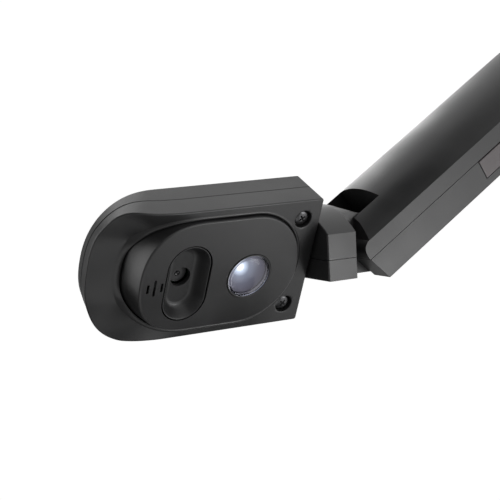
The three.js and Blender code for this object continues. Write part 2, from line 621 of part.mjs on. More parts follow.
const buttonSpots = { capture_button: [-15, -58], light_button: [15, -58] }
const statusSpot = [0, -74]
const portCentre = [-28, BASE_SEAM + 5]
const baseScrewSpots = [[-46, 82], [46, 82], [-40, -56], [40, -56]]
const basePost = (spot, low, high) => bar('z', 4, low, high, spot, 16)

function lug(side) {
  const inner = side * LUG_HALF_GAP
  const outer = side * (LUG_HALF_GAP + LUG_THICK)
  const [low, high] = [Math.min(inner, outer), Math.max(inner, outer)]
  const profile = [
    point(FOLD_Y - LUG_RADIUS, BASE_TOP - 1), point(FOLD_Y + LUG_RADIUS + 7, BASE_TOP - 1),
    ...superArc(point(FOLD_Y, FOLD_Z), LUG_RADIUS, LUG_RADIUS, 2, 0, Math.PI, 16),
  ]
  return crossPrism(profile, low, high)
}

function baseTopCover() {
  const outside = loft(baseOutline(0), baseOutline(0), BASE_SEAM + GAP, BASE_TOP - BASE_EDGE)
    .add(loft(baseOutline(0), baseOutline(BASE_EDGE), BASE_TOP - BASE_EDGE, BASE_TOP))
  const inside = prism(baseOutline(BASE_WALL), 0, BASE_TOP - BASE_WALL)
  const posts = baseScrewSpots.map(spot => basePost(spot, BASE_SEAM + GAP, BASE_TOP - 1))
  const solid = union([cut(outside, [inside]), lug(-1), lug(1), ...posts])
  const port = prism(stadium(2.2, 5.1, [0, 0]), -THROUGH, 12)
    .rotate([90, 0, 0])
    .translate([portCentre[0], BASE_BACK + 3, portCentre[1]])
  const buttons = Object.values(buttonSpots).map(spot => bar('z', BUTTON_RADIUS + GAP, 0, WIDE, spot, 32))
  const status = bar('z', 1.6 + GAP, 0, WIDE, statusSpot, 16)
  const pin = bar('x', FOLD_PIN_RADIUS + GAP, -24.3, 24.3, [FOLD_Y, FOLD_Z])
  const caps = [-1, 1].map(side => bar('x', 6.3, ...(side < 0 ? [-WIDE, -25.2] : [25.2, WIDE]), [FOLD_Y, FOLD_Z]))
  const screws = baseScrewSpots.map(spot => bar('z', SCREW_SHANK_RADIUS + GAP, 0, 14.5, spot, 12))
  return cut(solid, [port, ...buttons, status, pin, ...caps, ...screws])
}

function baseBottomShell() {
  const outside = prism(baseOutline(0), BASE_FOOT, BASE_SEAM)
  const inside = prism(baseOutline(BASE_WALL), BASE_FOOT + 2, BASE_SEAM + THROUGH)
  const posts = baseScrewSpots.map(spot => bar('z', 5, BASE_FOOT + 1, BASE_SEAM, spot, 18))
  const seats = baseScrewSpots.map(spot => bar('z', SCREW_RECESS_RADIUS, 0, BASE_FOOT + 2.6, spot, 20))
  const holes = baseScrewSpots.map(spot => bar('z', SCREW_SHANK_RADIUS + GAP, 0, WIDE, spot, 12))
  return cut(union([cut(outside, [inside]), ...posts]), [...seats, ...holes])
}

place(group, 'base_top_cover', 'black_shell', baseTopCover())
place(group, 'base_bottom_shell', 'black_shell', baseBottomShell())
place(group, 'rubber_sole', 'rubber', cut(
  prism(baseOutline(4), 0, BASE_FOOT - GAP),
  baseScrewSpots.map(spot => bar('z', SCREW_RECESS_RADIUS + 0.4, -1, 5, spot, 20))))
place(group, 'base_weight', 'steel', cut(
  prism(baseOutline(6), BASE_FOOT + 2 + GAP, BASE_FOOT + 8),
  baseScrewSpots.map(spot => bar('z', 6, 0, WIDE, spot, 20))))
place(group, 'button_board', 'board', box([-28, -80, 10.2], [28, -46, 11.4]))
place(group, 'port_board', 'board', box([-42, 60, 10], [-14, 90, 11.2]))

function usbPort() {
  const shell = prism(stadium(1.8, 4.7, [0, 0]), 0, 8)
  const mouth = prism(stadium(1.4, 4.3, [0, 0]), -THROUGH, 7)
  const tongue = box([-3.3, -0.35, 1], [3.3, 0.35, 8])
  return cut(shell, [mouth]).add(tongue)
    .rotate([90, 0, 0])
    .translate([portCentre[0], BASE_BACK - 0.2, portCentre[1] + 0.2])
}
place(group, 'usb_port', 'steel', usbPort())

for (const [name, spot] of Object.entries(buttonSpots)) {
  place(group, name, 'dark_key', turned([
    [0, 12.9], [BUTTON_RADIUS + 1, 12.9], [BUTTON_RADIUS + 1, 14.3], [BUTTON_RADIUS, 14.3],
    [BUTTON_RADIUS, BASE_TOP + 0.5], [BUTTON_RADIUS - 0.7, BASE_TOP + 1], [0, BASE_TOP + 0.6],
  ], spot, 32))
}
place(group, 'status_light', 'lamp', bar('z', 1.6, 11.8, BASE_TOP + 0.1, statusSpot, 16))
for (const [name, side] of [['left', -1], ['right', 1]]) {
  const stations = [25.5, LUG_HALF_GAP + LUG_THICK + 0.4].map(x => side * x).sort((a, b) => a - b)
  place(group, `fold_cap_${name}`, 'dark_key', bar('x', 6, ...stations, [FOLD_Y, FOLD_Z], 28))
}
baseScrewSpots.forEach((spot, i) => {
  const seat = BASE_FOOT + 2.6
  const head = bar('z', SCREW_HEAD_RADIUS, seat - 1.8, seat - GAP, spot, 20)
  const shank = bar('z', SCREW_SHANK_RADIUS, seat - 1, 13.5, spot, 12)
  const slots = [[1.7, 0.35], [0.35, 1.7]].map(([a, b]) => box(
    [spot[0] - a, spot[1] - b, 0], [spot[0] + a, spot[1] + b, seat - 1.1]))
  place(group, `base_screw_${i + 1}`, 'black_steel', cut(head.add(shank), slots))
})

export default group
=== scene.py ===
# %% [markdown]
# # A foldable book scanner
# The scanner is a weighted base, a column that slides in a sleeve, a neck that
# tilts, and a camera head that rolls. The design model gives every size, joint and
# place. This lesson gives each piece its real surface: moulded edges, lips and
# seams, glass, screws and grain. Everything is in metres, in the model's own frame.

# %% The design model
import json
import math

import bmesh
import bpy
import numpy as np
from mathutils import Matrix, Vector


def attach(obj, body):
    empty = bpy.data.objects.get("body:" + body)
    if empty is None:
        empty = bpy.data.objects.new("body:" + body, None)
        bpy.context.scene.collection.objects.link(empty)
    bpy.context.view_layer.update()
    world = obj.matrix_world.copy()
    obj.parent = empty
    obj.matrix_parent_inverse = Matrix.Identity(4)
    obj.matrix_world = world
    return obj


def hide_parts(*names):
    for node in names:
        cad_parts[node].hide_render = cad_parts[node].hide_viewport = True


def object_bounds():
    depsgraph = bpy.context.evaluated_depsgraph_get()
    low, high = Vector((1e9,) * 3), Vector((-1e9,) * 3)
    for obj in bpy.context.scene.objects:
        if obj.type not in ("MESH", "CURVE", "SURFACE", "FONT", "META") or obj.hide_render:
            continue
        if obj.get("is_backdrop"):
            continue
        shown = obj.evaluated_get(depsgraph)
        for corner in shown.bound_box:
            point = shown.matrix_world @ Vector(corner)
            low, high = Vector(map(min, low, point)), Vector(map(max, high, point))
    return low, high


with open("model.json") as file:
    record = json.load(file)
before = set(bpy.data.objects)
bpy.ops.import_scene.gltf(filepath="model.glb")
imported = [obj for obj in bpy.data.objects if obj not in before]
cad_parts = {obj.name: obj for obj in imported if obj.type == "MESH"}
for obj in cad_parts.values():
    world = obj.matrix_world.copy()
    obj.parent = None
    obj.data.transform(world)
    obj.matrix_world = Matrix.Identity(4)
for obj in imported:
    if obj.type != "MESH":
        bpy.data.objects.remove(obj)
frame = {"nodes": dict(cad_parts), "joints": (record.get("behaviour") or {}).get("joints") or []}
cad_low, cad_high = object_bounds()
print("design box, mm:", [round(v * 1000) for v in cad_high - cad_low])

# %% [markdown]
# ## Frames
# The neck and the head lean and turn, so each piece is easier to draw in its own
# frame and then move into place. The hinge points come from the model's joints.
# Pieces are drawn in millimetres, and each frame also turns those into metres.

# %% Frames of the moving bodies
MM = 0.001
TILT = math.radians(31.56)
ROLL = math.radians(26.02)
ROLL_AXIS_Y = 3.9
HEAD_FORWARD = 4.0
HEAD_START = 27.0

joints = {joint["name"]: joint for joint in frame["joints"]}
fold_hinge = Vector(joints["base_fold"]["pos_m"])
neck_hinge = Vector(joints["neck_tilt"]["pos_m"])
ROW = Matrix.Scale(MM, 4)
FOLD = Matrix.Translation(fold_hinge) @ ROW
ARM = Matrix.Translation(neck_hinge) @ ROW
NECK = ARM @ Matrix.Rotation(-TILT, 4, "X")
ROLLED = NECK @ Matrix.Translation((0, ROLL_AXIS_Y, 0)) @ Matrix.Rotation(-ROLL, 4, "Z")
ACROSS = Matrix(((0, 0, 1, 0), (1, 0, 0, 0), (0, 1, 0, 0), (0, 0, 0, 1)))
FACE = ROLLED @ Matrix.Translation((HEAD_FORWARD, 0, HEAD_START)) @ ACROSS
print("lens axis:", [round(v, 3) for v in (FACE.to_3x3() @ Vector((0, 0, 1000)))])

# %% [markdown]
# ## Camera
# A product view from the side and above, close to the head, with the column running
# out of the frame. The camera is rolled by 131 degrees, so the neck comes in from
# the right. A long lens keeps the head's straight edges nearly parallel.

# %% The camera
AIM = neck_hinge + Vector((-0.0201, 0.0175, 0.0276))
VIEW_AZIMUTH = math.radians(23.81)
VIEW_ELEVATION = math.radians(22.26)
VIEW_ROLL = math.radians(131.05)
VIEW_DISTANCE = 0.5523
LENS_LENGTH = 107.45

toward_viewer = Vector((
    math.cos(VIEW_ELEVATION) * math.cos(VIEW_AZIMUTH),
    math.cos(VIEW_ELEVATION) * math.sin(VIEW_AZIMUTH),
    math.sin(VIEW_ELEVATION)))
level_right = Vector((-math.sin(VIEW_AZIMUTH), math.cos(VIEW_AZIMUTH), 0))
level_up = toward_viewer.cross(level_right)
right = math.cos(VIEW_ROLL) * level_right - math.sin(VIEW_ROLL) * level_up
up = math.sin(VIEW_ROLL) * level_right + math.cos(VIEW_ROLL) * level_up
lens_data = bpy.data.cameras.new("view")
lens_data.sensor_width = 36
lens_data.lens = LENS_LENGTH
lens_data.clip_start = 0.05
camera = bpy.data.objects.new("view", lens_data)
camera.matrix_world = Matrix.Translation(AIM + toward_viewer * VIEW_DISTANCE) @ Matrix(
    (right, up, toward_viewer)).transposed().to_4x4()
bpy.context.scene.collection.objects.link(camera)
bpy.context.scene.camera = camera
print("camera at", [round(v, 3) for v in camera.matrix_world.translation])

# %% [markdown]
# ## Floor and light
# Black plastic shows almost nothing of its own: what is seen is what it reflects.
# So the light is planned from the reflections. A pale floor lights the lower faces,
# one panel stands where the flat sides of the neck and sleeve mirror it, and the
# sky is kept dim.

# %% Floor, sky and side panel
WHITE = (1, 1, 1, 1)
FLOOR_GREY = 0.92
FLOOR_ROUGHNESS = 0.9
FLOOR_GLOW = 0.75
FLOOR_REACH = 6
SKY_STRENGTH = 0.3
PANEL_PLACE = Vector((0.53, -0.22, 0.01))
PANEL_SIZE = 0.36
PANEL_POWER = 2.4


def principled(name, **values):
    """A material and its shader. Inputs are named with _ for a space."""
    paint = bpy.data.materials.new(name)
    paint.use_nodes = True
    shader = paint.node_tree.nodes["Principled BSDF"]
    for key, value in values.items():
        shader.inputs[key.replace("_", " ")].default_value = value
    return paint, shader


def flat_sheet(name, half_wide, half_high, paint):
    """One rectangle in X and Y, staged so that the checks leave it out."""
    mesh = bpy.data.meshes.new(name)
    mesh.from_pydata([(x, y, 0) for x, y in (
        (-half_wide, -half_high), (half_wide, -half_high),
        (half_wide, half_high), (-half_wide, half_high))], [], [(0, 1, 2, 3)])
    mesh.materials.append(paint)
    sheet = bpy.data.objects.new(name, mesh)
    bpy.context.scene.collection.objects.link(sheet)
    sheet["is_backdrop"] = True
    return sheet


floor_paint, _ = principled("floor_paint", Base_Color=(FLOOR_GREY, FLOOR_GREY, FLOOR_GREY, 1),
                            Roughness=FLOOR_ROUGHNESS, Emission_Color=WHITE,
                            Emission_Strength=FLOOR_GLOW)
flat_sheet("floor", FLOOR_REACH, FLOOR_REACH, floor_paint)

sky = bpy.data.worlds.new("sky")
sky.use_nodes = True
sky.node_tree.nodes["Background"].inputs["Color"].default_value = WHITE
sky.node_tree.nodes["Background"].inputs["Strength"].default_value = SKY_STRENGTH
bpy.context.scene.world = sky
bpy.context.scene.view_settings.view_transform = "Standard"

lamp = bpy.data.lights.new("side_panel", "AREA")
lamp.shape = "RECTANGLE"
lamp.size = lamp.size_y = PANEL_SIZE
lamp.energy = PANEL_POWER
panel = bpy.data.objects.new("side_panel", lamp)
panel.location = PANEL_PLACE
panel.rotation_euler = (neck_hinge - PANEL_PLACE).to_track_quat("-Z", "Y").to_euler()
panel.visible_camera = False
bpy.context.scene.collection.objects.link(panel)
print("floor, sky and", panel.name)

# %% [markdown]
# ## Reflection cards
# Studios shape the reflections on dark products with cards. Each card here is a
# plane that is seen only in reflections. Pale cards draw the bright edges and dark
# cards hold back the floor, so that the arched side falls off to black.

# %% Cards seen only in reflections
CARDS = (
    # name, direction from the neck hinge, distance, width and height, glow
    ("dark_arch_card", (0.16, 0.91, -0.38), 0.42, (0.34, 0.5), 0.05),
    ("pale_end_card", (-0.28, 0.55, 0.66), 0.42, (0.34, 0.34), 2.6),
    ("pale_front_card", (0.56, -0.59, 0.58), 0.5, (0.3, 0.3), 1.1),
    ("pale_rear_card", (-0.8, 0.08, -0.42), 0.45, (0.6, 0.3), 2.4),
    ("dark_face_card", (0.04, -0.141, 0.076), 0.165, (0.1, 0.12), 0.08),
    ("pale_face_card", (0.169, -0.164, 0.0), 0.235, (0.16, 0.1), 1.6),
)


def card(name, toward, distance, size, glow):
    paint, _ = principled(name, Base_Color=(0, 0, 0, 1), Roughness=1, Emission_Color=WHITE,
                          Emission_Strength=glow)
    plane = flat_sheet(name, size[0] / 2, size[1] / 2, paint)
    away = Vector(toward).normalized()
    plane.location = neck_hinge + distance * away
    plane.rotation_euler = away.to_track_quat("-Z", "Y").to_euler()
    for kind in ("camera", "diffuse", "transmission", "volume_scatter", "shadow"):
        setattr(plane, "visible_" + kind, False)


for settings in CARDS:
    card(*settings)
print("cards:", len(CARDS))

# %% [markdown]
# ## Moulded plastic
# The shells are injection moulded with a fine spark-eroded grain. Up close the grain
# is tiny pits, and from further away it only spreads the reflections. Real mouldings
# also vary: the gloss drifts from place to place, and hands polish the edges. The
# grain is a small noise in the bump, the drift is a large noise in the roughness,
# and the Bevel node finds the edges, where the plastic is paler and smoother.

# %% A recipe for moulded plastic
GRAIN_PER_METRE = 5200
GRAIN_DEPTH = 0.00004
DRIFT_PER_METRE = 45
DRIFT_SHADE = 0.12              # how far the colour drifts, as a share
SCUFF_PER_METRE = 900
EDGE_REACH = 0.0006
EDGE_POLISH = 0.3               # how much of the roughness a worn edge loses
WORN_FROM, WORN_FULL = 0.99, 0.9  # cosine between the rounded and the true normal
NOISE_LOW, NOISE_HIGH = 0.3, 0.7  # where most values of the noise lie


def new_node(tree, kind, **settings):
    node = tree.nodes.new(kind)
    for key, value in settings.items():
        if hasattr(node, key):
            setattr(node, key, value)
        else:
            node.inputs[key.replace("_", " ")].default_value = value
    return node


def noise(tree, where, per_metre, detail=2.0):
    node = new_node(tree, "ShaderNodeTexNoise", Scale=per_metre, Detail=detail)
    tree.links.new(where, node.inputs["Vector"])
    return node.outputs["Fac"]


def map_range(tree, value, low, high, to_low=0.0, to_high=1.0):
    node = new_node(tree, "ShaderNodeMapRange")
    for label, number in (("From Min", low), ("From Max", high),
                          ("To Min", to_low), ("To Max", to_high)):
        node.inputs[label].default_value = number
    tree.links.new(value, node.inputs["Value"])
    return node.outputs["Result"]


def spread(tree, value, low, high):
    return map_range(tree, value, NOISE_LOW, NOISE_HIGH, low, high)


def edge_mask(tree):
    """1 on a worn edge, 0 on a flat: how far the rounded normal leaves the true one."""
    rounded = new_node(tree, "ShaderNodeBevel", samples=4, Radius=EDGE_REACH)
    true = new_node(tree, "ShaderNodeNewGeometry")
    same = new_node(tree, "ShaderNodeVectorMath", operation="DOT_PRODUCT")
    tree.links.new(rounded.outputs["Normal"], same.inputs[0])
    tree.links.new(true.outputs["Normal"], same.inputs[1])
    return map_range(tree, same.outputs["Value"], WORN_FROM, WORN_FULL)


def product(tree, first, second):
    node = new_node(tree, "ShaderNodeMath", operation="MULTIPLY")
    tree.links.new(first, node.inputs[0])
    if isinstance(second, float):
        node.inputs[1].default_value = second
    else:
        tree.links.new(second, node.inputs[1])
    return node.outputs["Value"]


def blend_colour(tree, amount, first, second):
    node = new_node(tree, "ShaderNodeMix", data_type="RGBA")
    tree.links.new(amount, node.inputs["Factor"])
    for socket, value in (("A", first), ("B", second)):
        colour_socket = next(s for s in node.inputs if s.name == socket and s.type == "RGBA")
        if isinstance(value, tuple):
            colour_socket.default_value = (*value, 1)
        else:
            tree.links.new(value, colour_socket)
    return next(s for s in node.outputs if s.type == "RGBA")


def surface(name, colour, roughness, grain=0.35, wear=0.35, pale=2.2, metal=0.0, drift=0.06,
            grain_per_metre=GRAIN_PER_METRE):
    """A base for every opaque finish: colour, gloss drift, grain and rubbed edges."""
    paint, shader = principled(name, Metallic=metal)
    tree = paint.node_tree
    where = new_node(tree, "ShaderNodeTexCoord").outputs["Object"]
    slow = noise(tree, where, DRIFT_PER_METRE)
    scuff = spread(tree, noise(tree, where, SCUFF_PER_METRE), 0.4, 1.0)
    worn = product(tree, edge_mask(tree), product(tree, scuff, wear))
    darker = tuple((1 - DRIFT_SHADE) * c for c in colour)
    lighter = tuple((1 + DRIFT_SHADE) * c for c in colour)
    body = blend_colour(tree, spread(tree, slow, 0.0, 1.0), darker, lighter)
    rubbed = tuple(min(pale * c, 1) for c in colour)
    tree.links.new(blend_colour(tree, worn, body, rubbed), shader.inputs["Base Color"])
    dull = spread(tree, slow, roughness - drift, roughness + drift)
    gloss = new_node(tree, "ShaderNodeMath", operation="MULTIPLY_ADD")
    tree.links.new(worn, gloss.inputs[0])
    gloss.inputs[1].default_value = -EDGE_POLISH * roughness
    tree.links.new(dull, gloss.inputs[2])
    tree.links.new(gloss.outputs["Value"], shader.inputs["Roughness"])
    bump = new_node(tree, "ShaderNodeBump", Strength=grain, Distance=GRAIN_DEPTH)
    tree.links.new(noise(tree, where, grain_per_metre, 3.0), bump.inputs["Height"])
    tree.links.new(bump.outputs["Normal"], shader.inputs["Normal"])
    return paint


BLACK_PLASTIC = surface("black_plastic", (0.0125, 0.0125, 0.013), 0.36)
GREY_PLASTIC = surface("grey_plastic", (0.018, 0.018, 0.0185), 0.38)
KEY_PLASTIC = surface("key_plastic", (0.075, 0.064, 0.066), 0.42)
print("plastics:", BLACK_PLASTIC.name, GREY_PLASTIC.name, KEY_PLASTIC.name)

# %% [markdown]
# ## Metal, rubber, boards and glass
# The column is drawn aluminium, so its grain runs along it: a noise stretched along Z
# by a Mapping node. Screws are black oxide steel and shinier than the plastic.
# The sole is dull rubber. Circuit boards have a green mask over copper tracks. The
# glass pieces use the shader's own transmission.

# %% Metal, rubber, boards and glass
DRAWN_STRETCH = 0.01
DRAWN_PER_METRE = 4000
DRAWN_DEPTH = 0.00001
BOWL_RADIUS = 7.1
# Painted light: the bowl's glow is an emission that stands in for the chip's light on it.
PAINTED_GLOW_STRENGTH = 3.4
PAINTED_GLOW_FADE = (
    # share of the bowl's radius, colour of the painted glow there
    (0.08, (0.95, 0.98, 1.0)), (0.2, (0.36, 0.41, 0.46)), (0.4, (0.1, 0.11, 0.13)),
    (0.7, (0.05, 0.05, 0.06)), (1.0, (0.03, 0.028, 0.034)))

BLACK_STEEL = surface("black_steel", (0.06, 0.06, 0.062), 0.24, grain=0.1, metal=0.85, drift=0.04)
BRIGHT_STEEL = surface("bright_steel", (0.55, 0.55, 0.56), 0.28, grain=0.15, pale=1.2, metal=1.0)
SOLE_RUBBER = surface("sole_rubber", (0.016, 0.016, 0.016), 0.82, grain=0.8, wear=0.2,
                      grain_per_metre=2600)
WHITE_PLASTIC = surface("white_plastic", (0.75, 0.75, 0.72), 0.45, pale=1.1)
BOARD_MASK = surface("board_mask", (0.012, 0.075, 0.035), 0.35, grain=0.5, pale=1.6,
                     grain_per_metre=1400)


def drawn_aluminium():
    metal = surface("drawn_aluminium", (0.5, 0.51, 0.52), 0.34, grain=0.1, pale=1.3, metal=1.0)
    tree = metal.node_tree
    where = new_node(tree, "ShaderNodeTexCoord").outputs["Object"]
    stretch = new_node(tree, "ShaderNodeMapping")
    stretch.inputs["Scale"].default_value = (1, 1, DRAWN_STRETCH)
    tree.links.new(where, stretch.inputs["Vector"])
    bump = next(node for node in tree.nodes if node.type == "BUMP")
    bump.inputs["Distance"].default_value = DRAWN_DEPTH
    grain = noise(tree, stretch.outputs["Vector"], DRAWN_PER_METRE, 1.0)
    tree.links.new(grain, bump.inputs["Height"])
    return metal


def clear(name, colour, roughness, index):
    return principled(name, Base_Color=(*colour, 1), Roughness=roughness, IOR=index,
                      Transmission_Weight=1.0, Specular_IOR_Level=0.3)[0]


def lit(name, colour, strength):
    return principled(name, Base_Color=(*colour, 1), Emission_Color=(*colour, 1),
                      Emission_Strength=strength)[0]


def bowl_glow(centre, axis):
    """Painted light: an emission, white over the chip and fading to a dim mauve at the rim of the
    bowl, that stands in for the chip's light on the bowl.
    """
    glow, shader = principled("bowl_glow", Base_Color=(0.05, 0.05, 0.055, 1), Roughness=0.5,
                              Emission_Strength=PAINTED_GLOW_STRENGTH)
    tree = glow.node_tree
    where = new_node(tree, "ShaderNodeTexCoord").outputs["Object"]
    away = new_node(tree, "ShaderNodeVectorMath", operation="SUBTRACT")
    tree.links.new(where, away.inputs[0])
    away.inputs[1].default_value = tuple(centre)
    flat = new_node(tree, "ShaderNodeVectorMath", operation="CROSS_PRODUCT")
    tree.links.new(away.outputs["Vector"], flat.inputs[0])
    flat.inputs[1].default_value = tuple(Vector(axis).normalized())
    length = new_node(tree, "ShaderNodeVectorMath", operation="LENGTH")
    tree.links.new(flat.outputs["Vector"], length.inputs[0])
    fade = new_node(tree, "ShaderNodeValToRGB")
    share = map_range(tree, length.outputs["Value"], 0, BOWL_RADIUS * MM)
    tree.links.new(share, fade.inputs["Fac"])
    ramp = fade.color_ramp
    for _ in range(len(PAINTED_GLOW_FADE) - 2):
        ramp.elements.new(0.5)
    for element, (place, colour) in zip(ramp.elements, PAINTED_GLOW_FADE):
        element.position = place
        element.color = (*colour, 1)
    tree.links.new(fade.outputs["Color"], shader.inputs["Emission Color"])
    return glow


BARREL_SATIN = surface("barrel_satin", (0.03, 0.03, 0.031), 0.4, grain=0.2, wear=0.3)
ALUMINIUM = drawn_aluminium()
DOME_CLEAR = clear("dome_clear", (0.6, 0.61, 0.68), 0.12, 1.3)
LENS_GLASS = surface("lens_glass", (0.002, 0.002, 0.003), 0.08, grain=0.0, wear=0.0)
LAMP_CHIP = lit("lamp_chip", (0.85, 0.93, 1.0), 6.0)
STATUS_GLOW = lit("status_glow", (0.55, 0.8, 1.0), 1.5)
print("finishes:", len(bpy.data.materials))

# %% [markdown]
# ## Tools for closed shells
# A moulded shell is a stack of rings: up the outside, over the rim and down the
# inside. Every ring has the same number of points, so neighbours join with quads
# and the skin is closed. Rounded edges are extra rings on a quarter circle. Holes
# are cut by the exact Boolean solver, and a small Bevel breaks the cut edges.

# %% Rings, skins and cuts
def ring_skin(name, rings, place, loop=False):
    """Joins rings of equal length with quads. A loop joins the last ring to the first,
    and without one both ends get a cap."""
    count = len(rings[0])
    points = np.vstack(rings)
    pairs = list(zip(range(len(rings)), range(1, len(rings))))
    if loop:
        pairs.append((len(rings) - 1, 0))
    faces = []
    for low, high in pairs:
        for i in range(count):
            j = (i + 1) % count
            faces.append((low * count + i, low * count + j, high * count + j, high * count + i))
    if not loop:
        faces.append(tuple(range(count))[::-1])
        faces.append(tuple(range(len(points) - count, len(points))))
    mesh = bpy.data.meshes.new(name)
    mesh.from_pydata(points.tolist(), [], faces)
    mesh.transform(place)
    piece = bpy.data.objects.new(name, mesh)
    bpy.context.scene.collection.objects.link(piece)
    turn_outward(piece)
    return piece


def turn_outward(piece):
    skin = bmesh.new()
    skin.from_mesh(piece.data)
    bmesh.ops.remove_doubles(skin, verts=skin.verts, dist=1e-7)
    bmesh.ops.recalc_face_normals(skin, faces=skin.faces)
    skin.to_mesh(piece.data)
    skin.free()


def bake_modifiers(piece):
    """Turns the evaluated shape into the piece's own mesh and drops its modifiers."""
    ready = piece.evaluated_get(bpy.context.evaluated_depsgraph_get())
    shape = bpy.data.meshes.new_from_object(ready)
    old = piece.data
    piece.modifiers.clear()
    piece.data = shape
    shape.name = piece.name
    bpy.data.meshes.remove(old)


def combine(piece, tools, how="DIFFERENCE"):
    """Cuts, joins or crosses a piece with tool solids, which are used up."""
    for tool in tools:
        step = piece.modifiers.new(how.lower(), "BOOLEAN")
        step.operation = how
        step.solver = "EXACT"
        step.object = tool
    bake_modifiers(piece)
    for tool in tools:
        bpy.data.objects.remove(tool)
    return piece


CUT_ANGLE = math.radians(38)


def smooth_shade(piece, sharp_degrees=32, round_mm=0.0, steps=2):
    """Rounds cut edges, then shades curves smooth and keeps flats flat."""
    if round_mm:
        rounding = piece.modifiers.new("rounding", "BEVEL")
        rounding.width = round_mm * MM
        rounding.segments = steps
        rounding.limit_method = "ANGLE"
        rounding.angle_limit = CUT_ANGLE
        bake_modifiers(piece)
    skin = bmesh.new()
    skin.from_mesh(piece.data)
    for face in skin.faces:
        face.smooth = True
    for edge in skin.edges:
        edge.smooth = edge.calc_face_angle(0) < math.radians(sharp_degrees)
    skin.to_mesh(piece.data)
    skin.free()
    weighted = piece.modifiers.new("flats_stay_flat", "WEIGHTED_NORMAL")
    weighted.keep_sharp = True
    bake_modifiers(piece)
    return piece


def hand_over(piece, paint, body, slot, *nodes, **shading):
    """Shades a piece, gives it its finish and body, and hides the solids it stands for. The slot
    is not used.
    """
    smooth_shade(piece, **shading)
    piece.data.materials.clear()
    piece.data.materials.append(paint)
    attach(piece, body)
    if nodes:
        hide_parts(*nodes)
    print(f"{piece.name}: {len(piece.data.polygons)} faces")


# %% [markdown]
# ## Outlines and simple solids
# Most outlines are arcs of a superellipse, a rounder or squarer ellipse. `turned`
# spins a profile round Z, `slab` lifts an outline with rounded edges, and
# `side_slab` draws the outline from the side instead.

# %% Outlines and simple solids
def arc(centre, half, reach, power, start, stop, steps):
    angle = np.linspace(start, stop, steps)
    across, along = np.cos(angle), np.sin(angle)
    return np.column_stack([
        centre[0] + half * np.sign(across) * np.abs(across) ** (2 / power),
        centre[1] + reach * np.sign(along) * np.abs(along) ** (2 / power)])


def lift(outline, height):
    return np.column_stack([outline, np.broadcast_to(height, len(outline))])


def inset(outline, depth):
    """Moves a closed outline inwards along its normals."""
    ahead = np.roll(outline, -1, 0) - outline
    behind = outline - np.roll(outline, 1, 0)
    normals = []
    for step in (behind, ahead):
        length = np.maximum(np.linalg.norm(step, axis=1, keepdims=True), 1e-9)
        normals.append(np.column_stack([-step[:, 1], step[:, 0]]) / length)
    middle = normals[0] + normals[1]
    middle /= np.maximum((middle * normals[0]).sum(1, keepdims=True), 0.3)
    return outline + depth * middle


def lifted(shape, profile):
    """Rings from pairs of a number and a height. `shape` draws the outline for a number."""
    return [lift(shape(number), height) for number, height in profile]


def turned(name, profile, spot, place, sides=64, loop=False):
    """Spins (radius, height) pairs round Z. Both ends get caps, which lie on a flat, or
    with a loop the profile closes on itself and never meets the axis."""
    circle = arc((0, 0), 1, 1, 2, 0, math.tau * (1 - 1 / sides), sides)
    rings = lifted(lambda radius: circle * radius + np.array(spot), profile)
    return ring_skin(name, rings, place, loop)


def bars_up(radius, low, high, places, place, sides=48):
    """Round bars along Z, one at each (x, y)."""
    return [turned("bar", [(radius, low), (radius, high)], spot, place, sides) for spot in places]


def rounded_rim(shape, height, edge, steps, side=1):
    """Rings from a wall onto a face: side is 1 for an upper edge and -1 for a lower one."""
    return [lift(shape(edge * (1 - math.cos(turn))), height - side * edge * (1 - math.sin(turn)))
            for turn in np.linspace(0, math.pi / 2, steps)]


def slab(name, outline, low, high, place, edge=0.0, low_edge=None, steps=5):
    """A flat block with its upper and lower edges rounded by `edge` millimetres."""
    low_edge = edge if low_edge is None else low_edge
    rings = []
    for side, radius in ((-1, low_edge), (1, edge)):
        base = low if side < 0 else high
        turns = np.linspace(0, math.pi / 2, steps if radius else 1)
        for turn in turns if side < 0 else turns[::-1]:
            depth = radius * (1 - math.sin(turn)) if radius else 0
            rings.append(lift(inset(outline, depth), base - side * radius * (1 - math.cos(turn))))
    return ring_skin(name, rings, place)


def side_slab(name, outline, low, high, place, edge=0.0):
    """A slab whose outline is drawn in Y and Z, running across X."""
    return slab(name, outline, low, high, place @ ACROSS, edge)


def block(name, low, high, place):
    outline = np.array([(low[0], low[1]), (high[0], low[1]),
                        (high[0], high[1]), (low[0], high[1])], float)
    return slab(name, outline, low[2], high[2], place)


def ease(value, start, stop):
    share = np.clip((value - start) / (stop - start), 0, 1)
    return share * share * (3 - 2 * share)


# %% [markdown]
# ## The head's outline
# Seen from the front, the head is square at the neck and round at the free end. The
# front rim is fuller than the back edge, so the end wall tapers from one superellipse
# to another. The rim also drops towards the free end, where the head gets thin. The
# same number of points is used for every inset and height, so rings always match.

# %% The head's outline and depth
HEAD_WIDTH = 50.0
HEAD_DEPTH = 17.2
HEAD_CORNER = 0.9
HEAD_WALL = 1.7
SEAM_SHARE = 0.47
FRONT = 8.05
BACK = FRONT - HEAD_DEPTH
BACK_END = (58.4, 2.30, 82.5)    # where the sides stop, how square, how long
FRONT_END = (68.1, 2.57, 82.4)
RIM_ALONG = (-5, 57, 62, 66, 70, 72, 74, 76, 78, 80, 81, 81.8, 82.4, 90)
RIM_DROP = (0, 0, 0.5, 1.2, 2.5, 3.7, 4.9, 5.9, 6.9, 7.9, 8.9, 10.3, 11.6, 12)
FOOT_ALONG = (-5, 50, 54, 58.4, 61.2, 63.7, 65.4, 66.9, 68.3, 69.6, 70.7, 71.5, 90)
FOOT_DROP = (0, 0, 0.3, 1.2, 2.0, 3.1, 3.8, 4.5, 5.4, 6.5, 7.4, 7.8, 8)


def smooth_drop(y, along, drop, window=1.6):
    """A drop read from a table, averaged over a short window so that it has no corners."""
    shifts = np.linspace(-window, window, 9)
    return np.mean([np.interp(np.asarray(y) + shift, along, drop) for shift in shifts], axis=0)


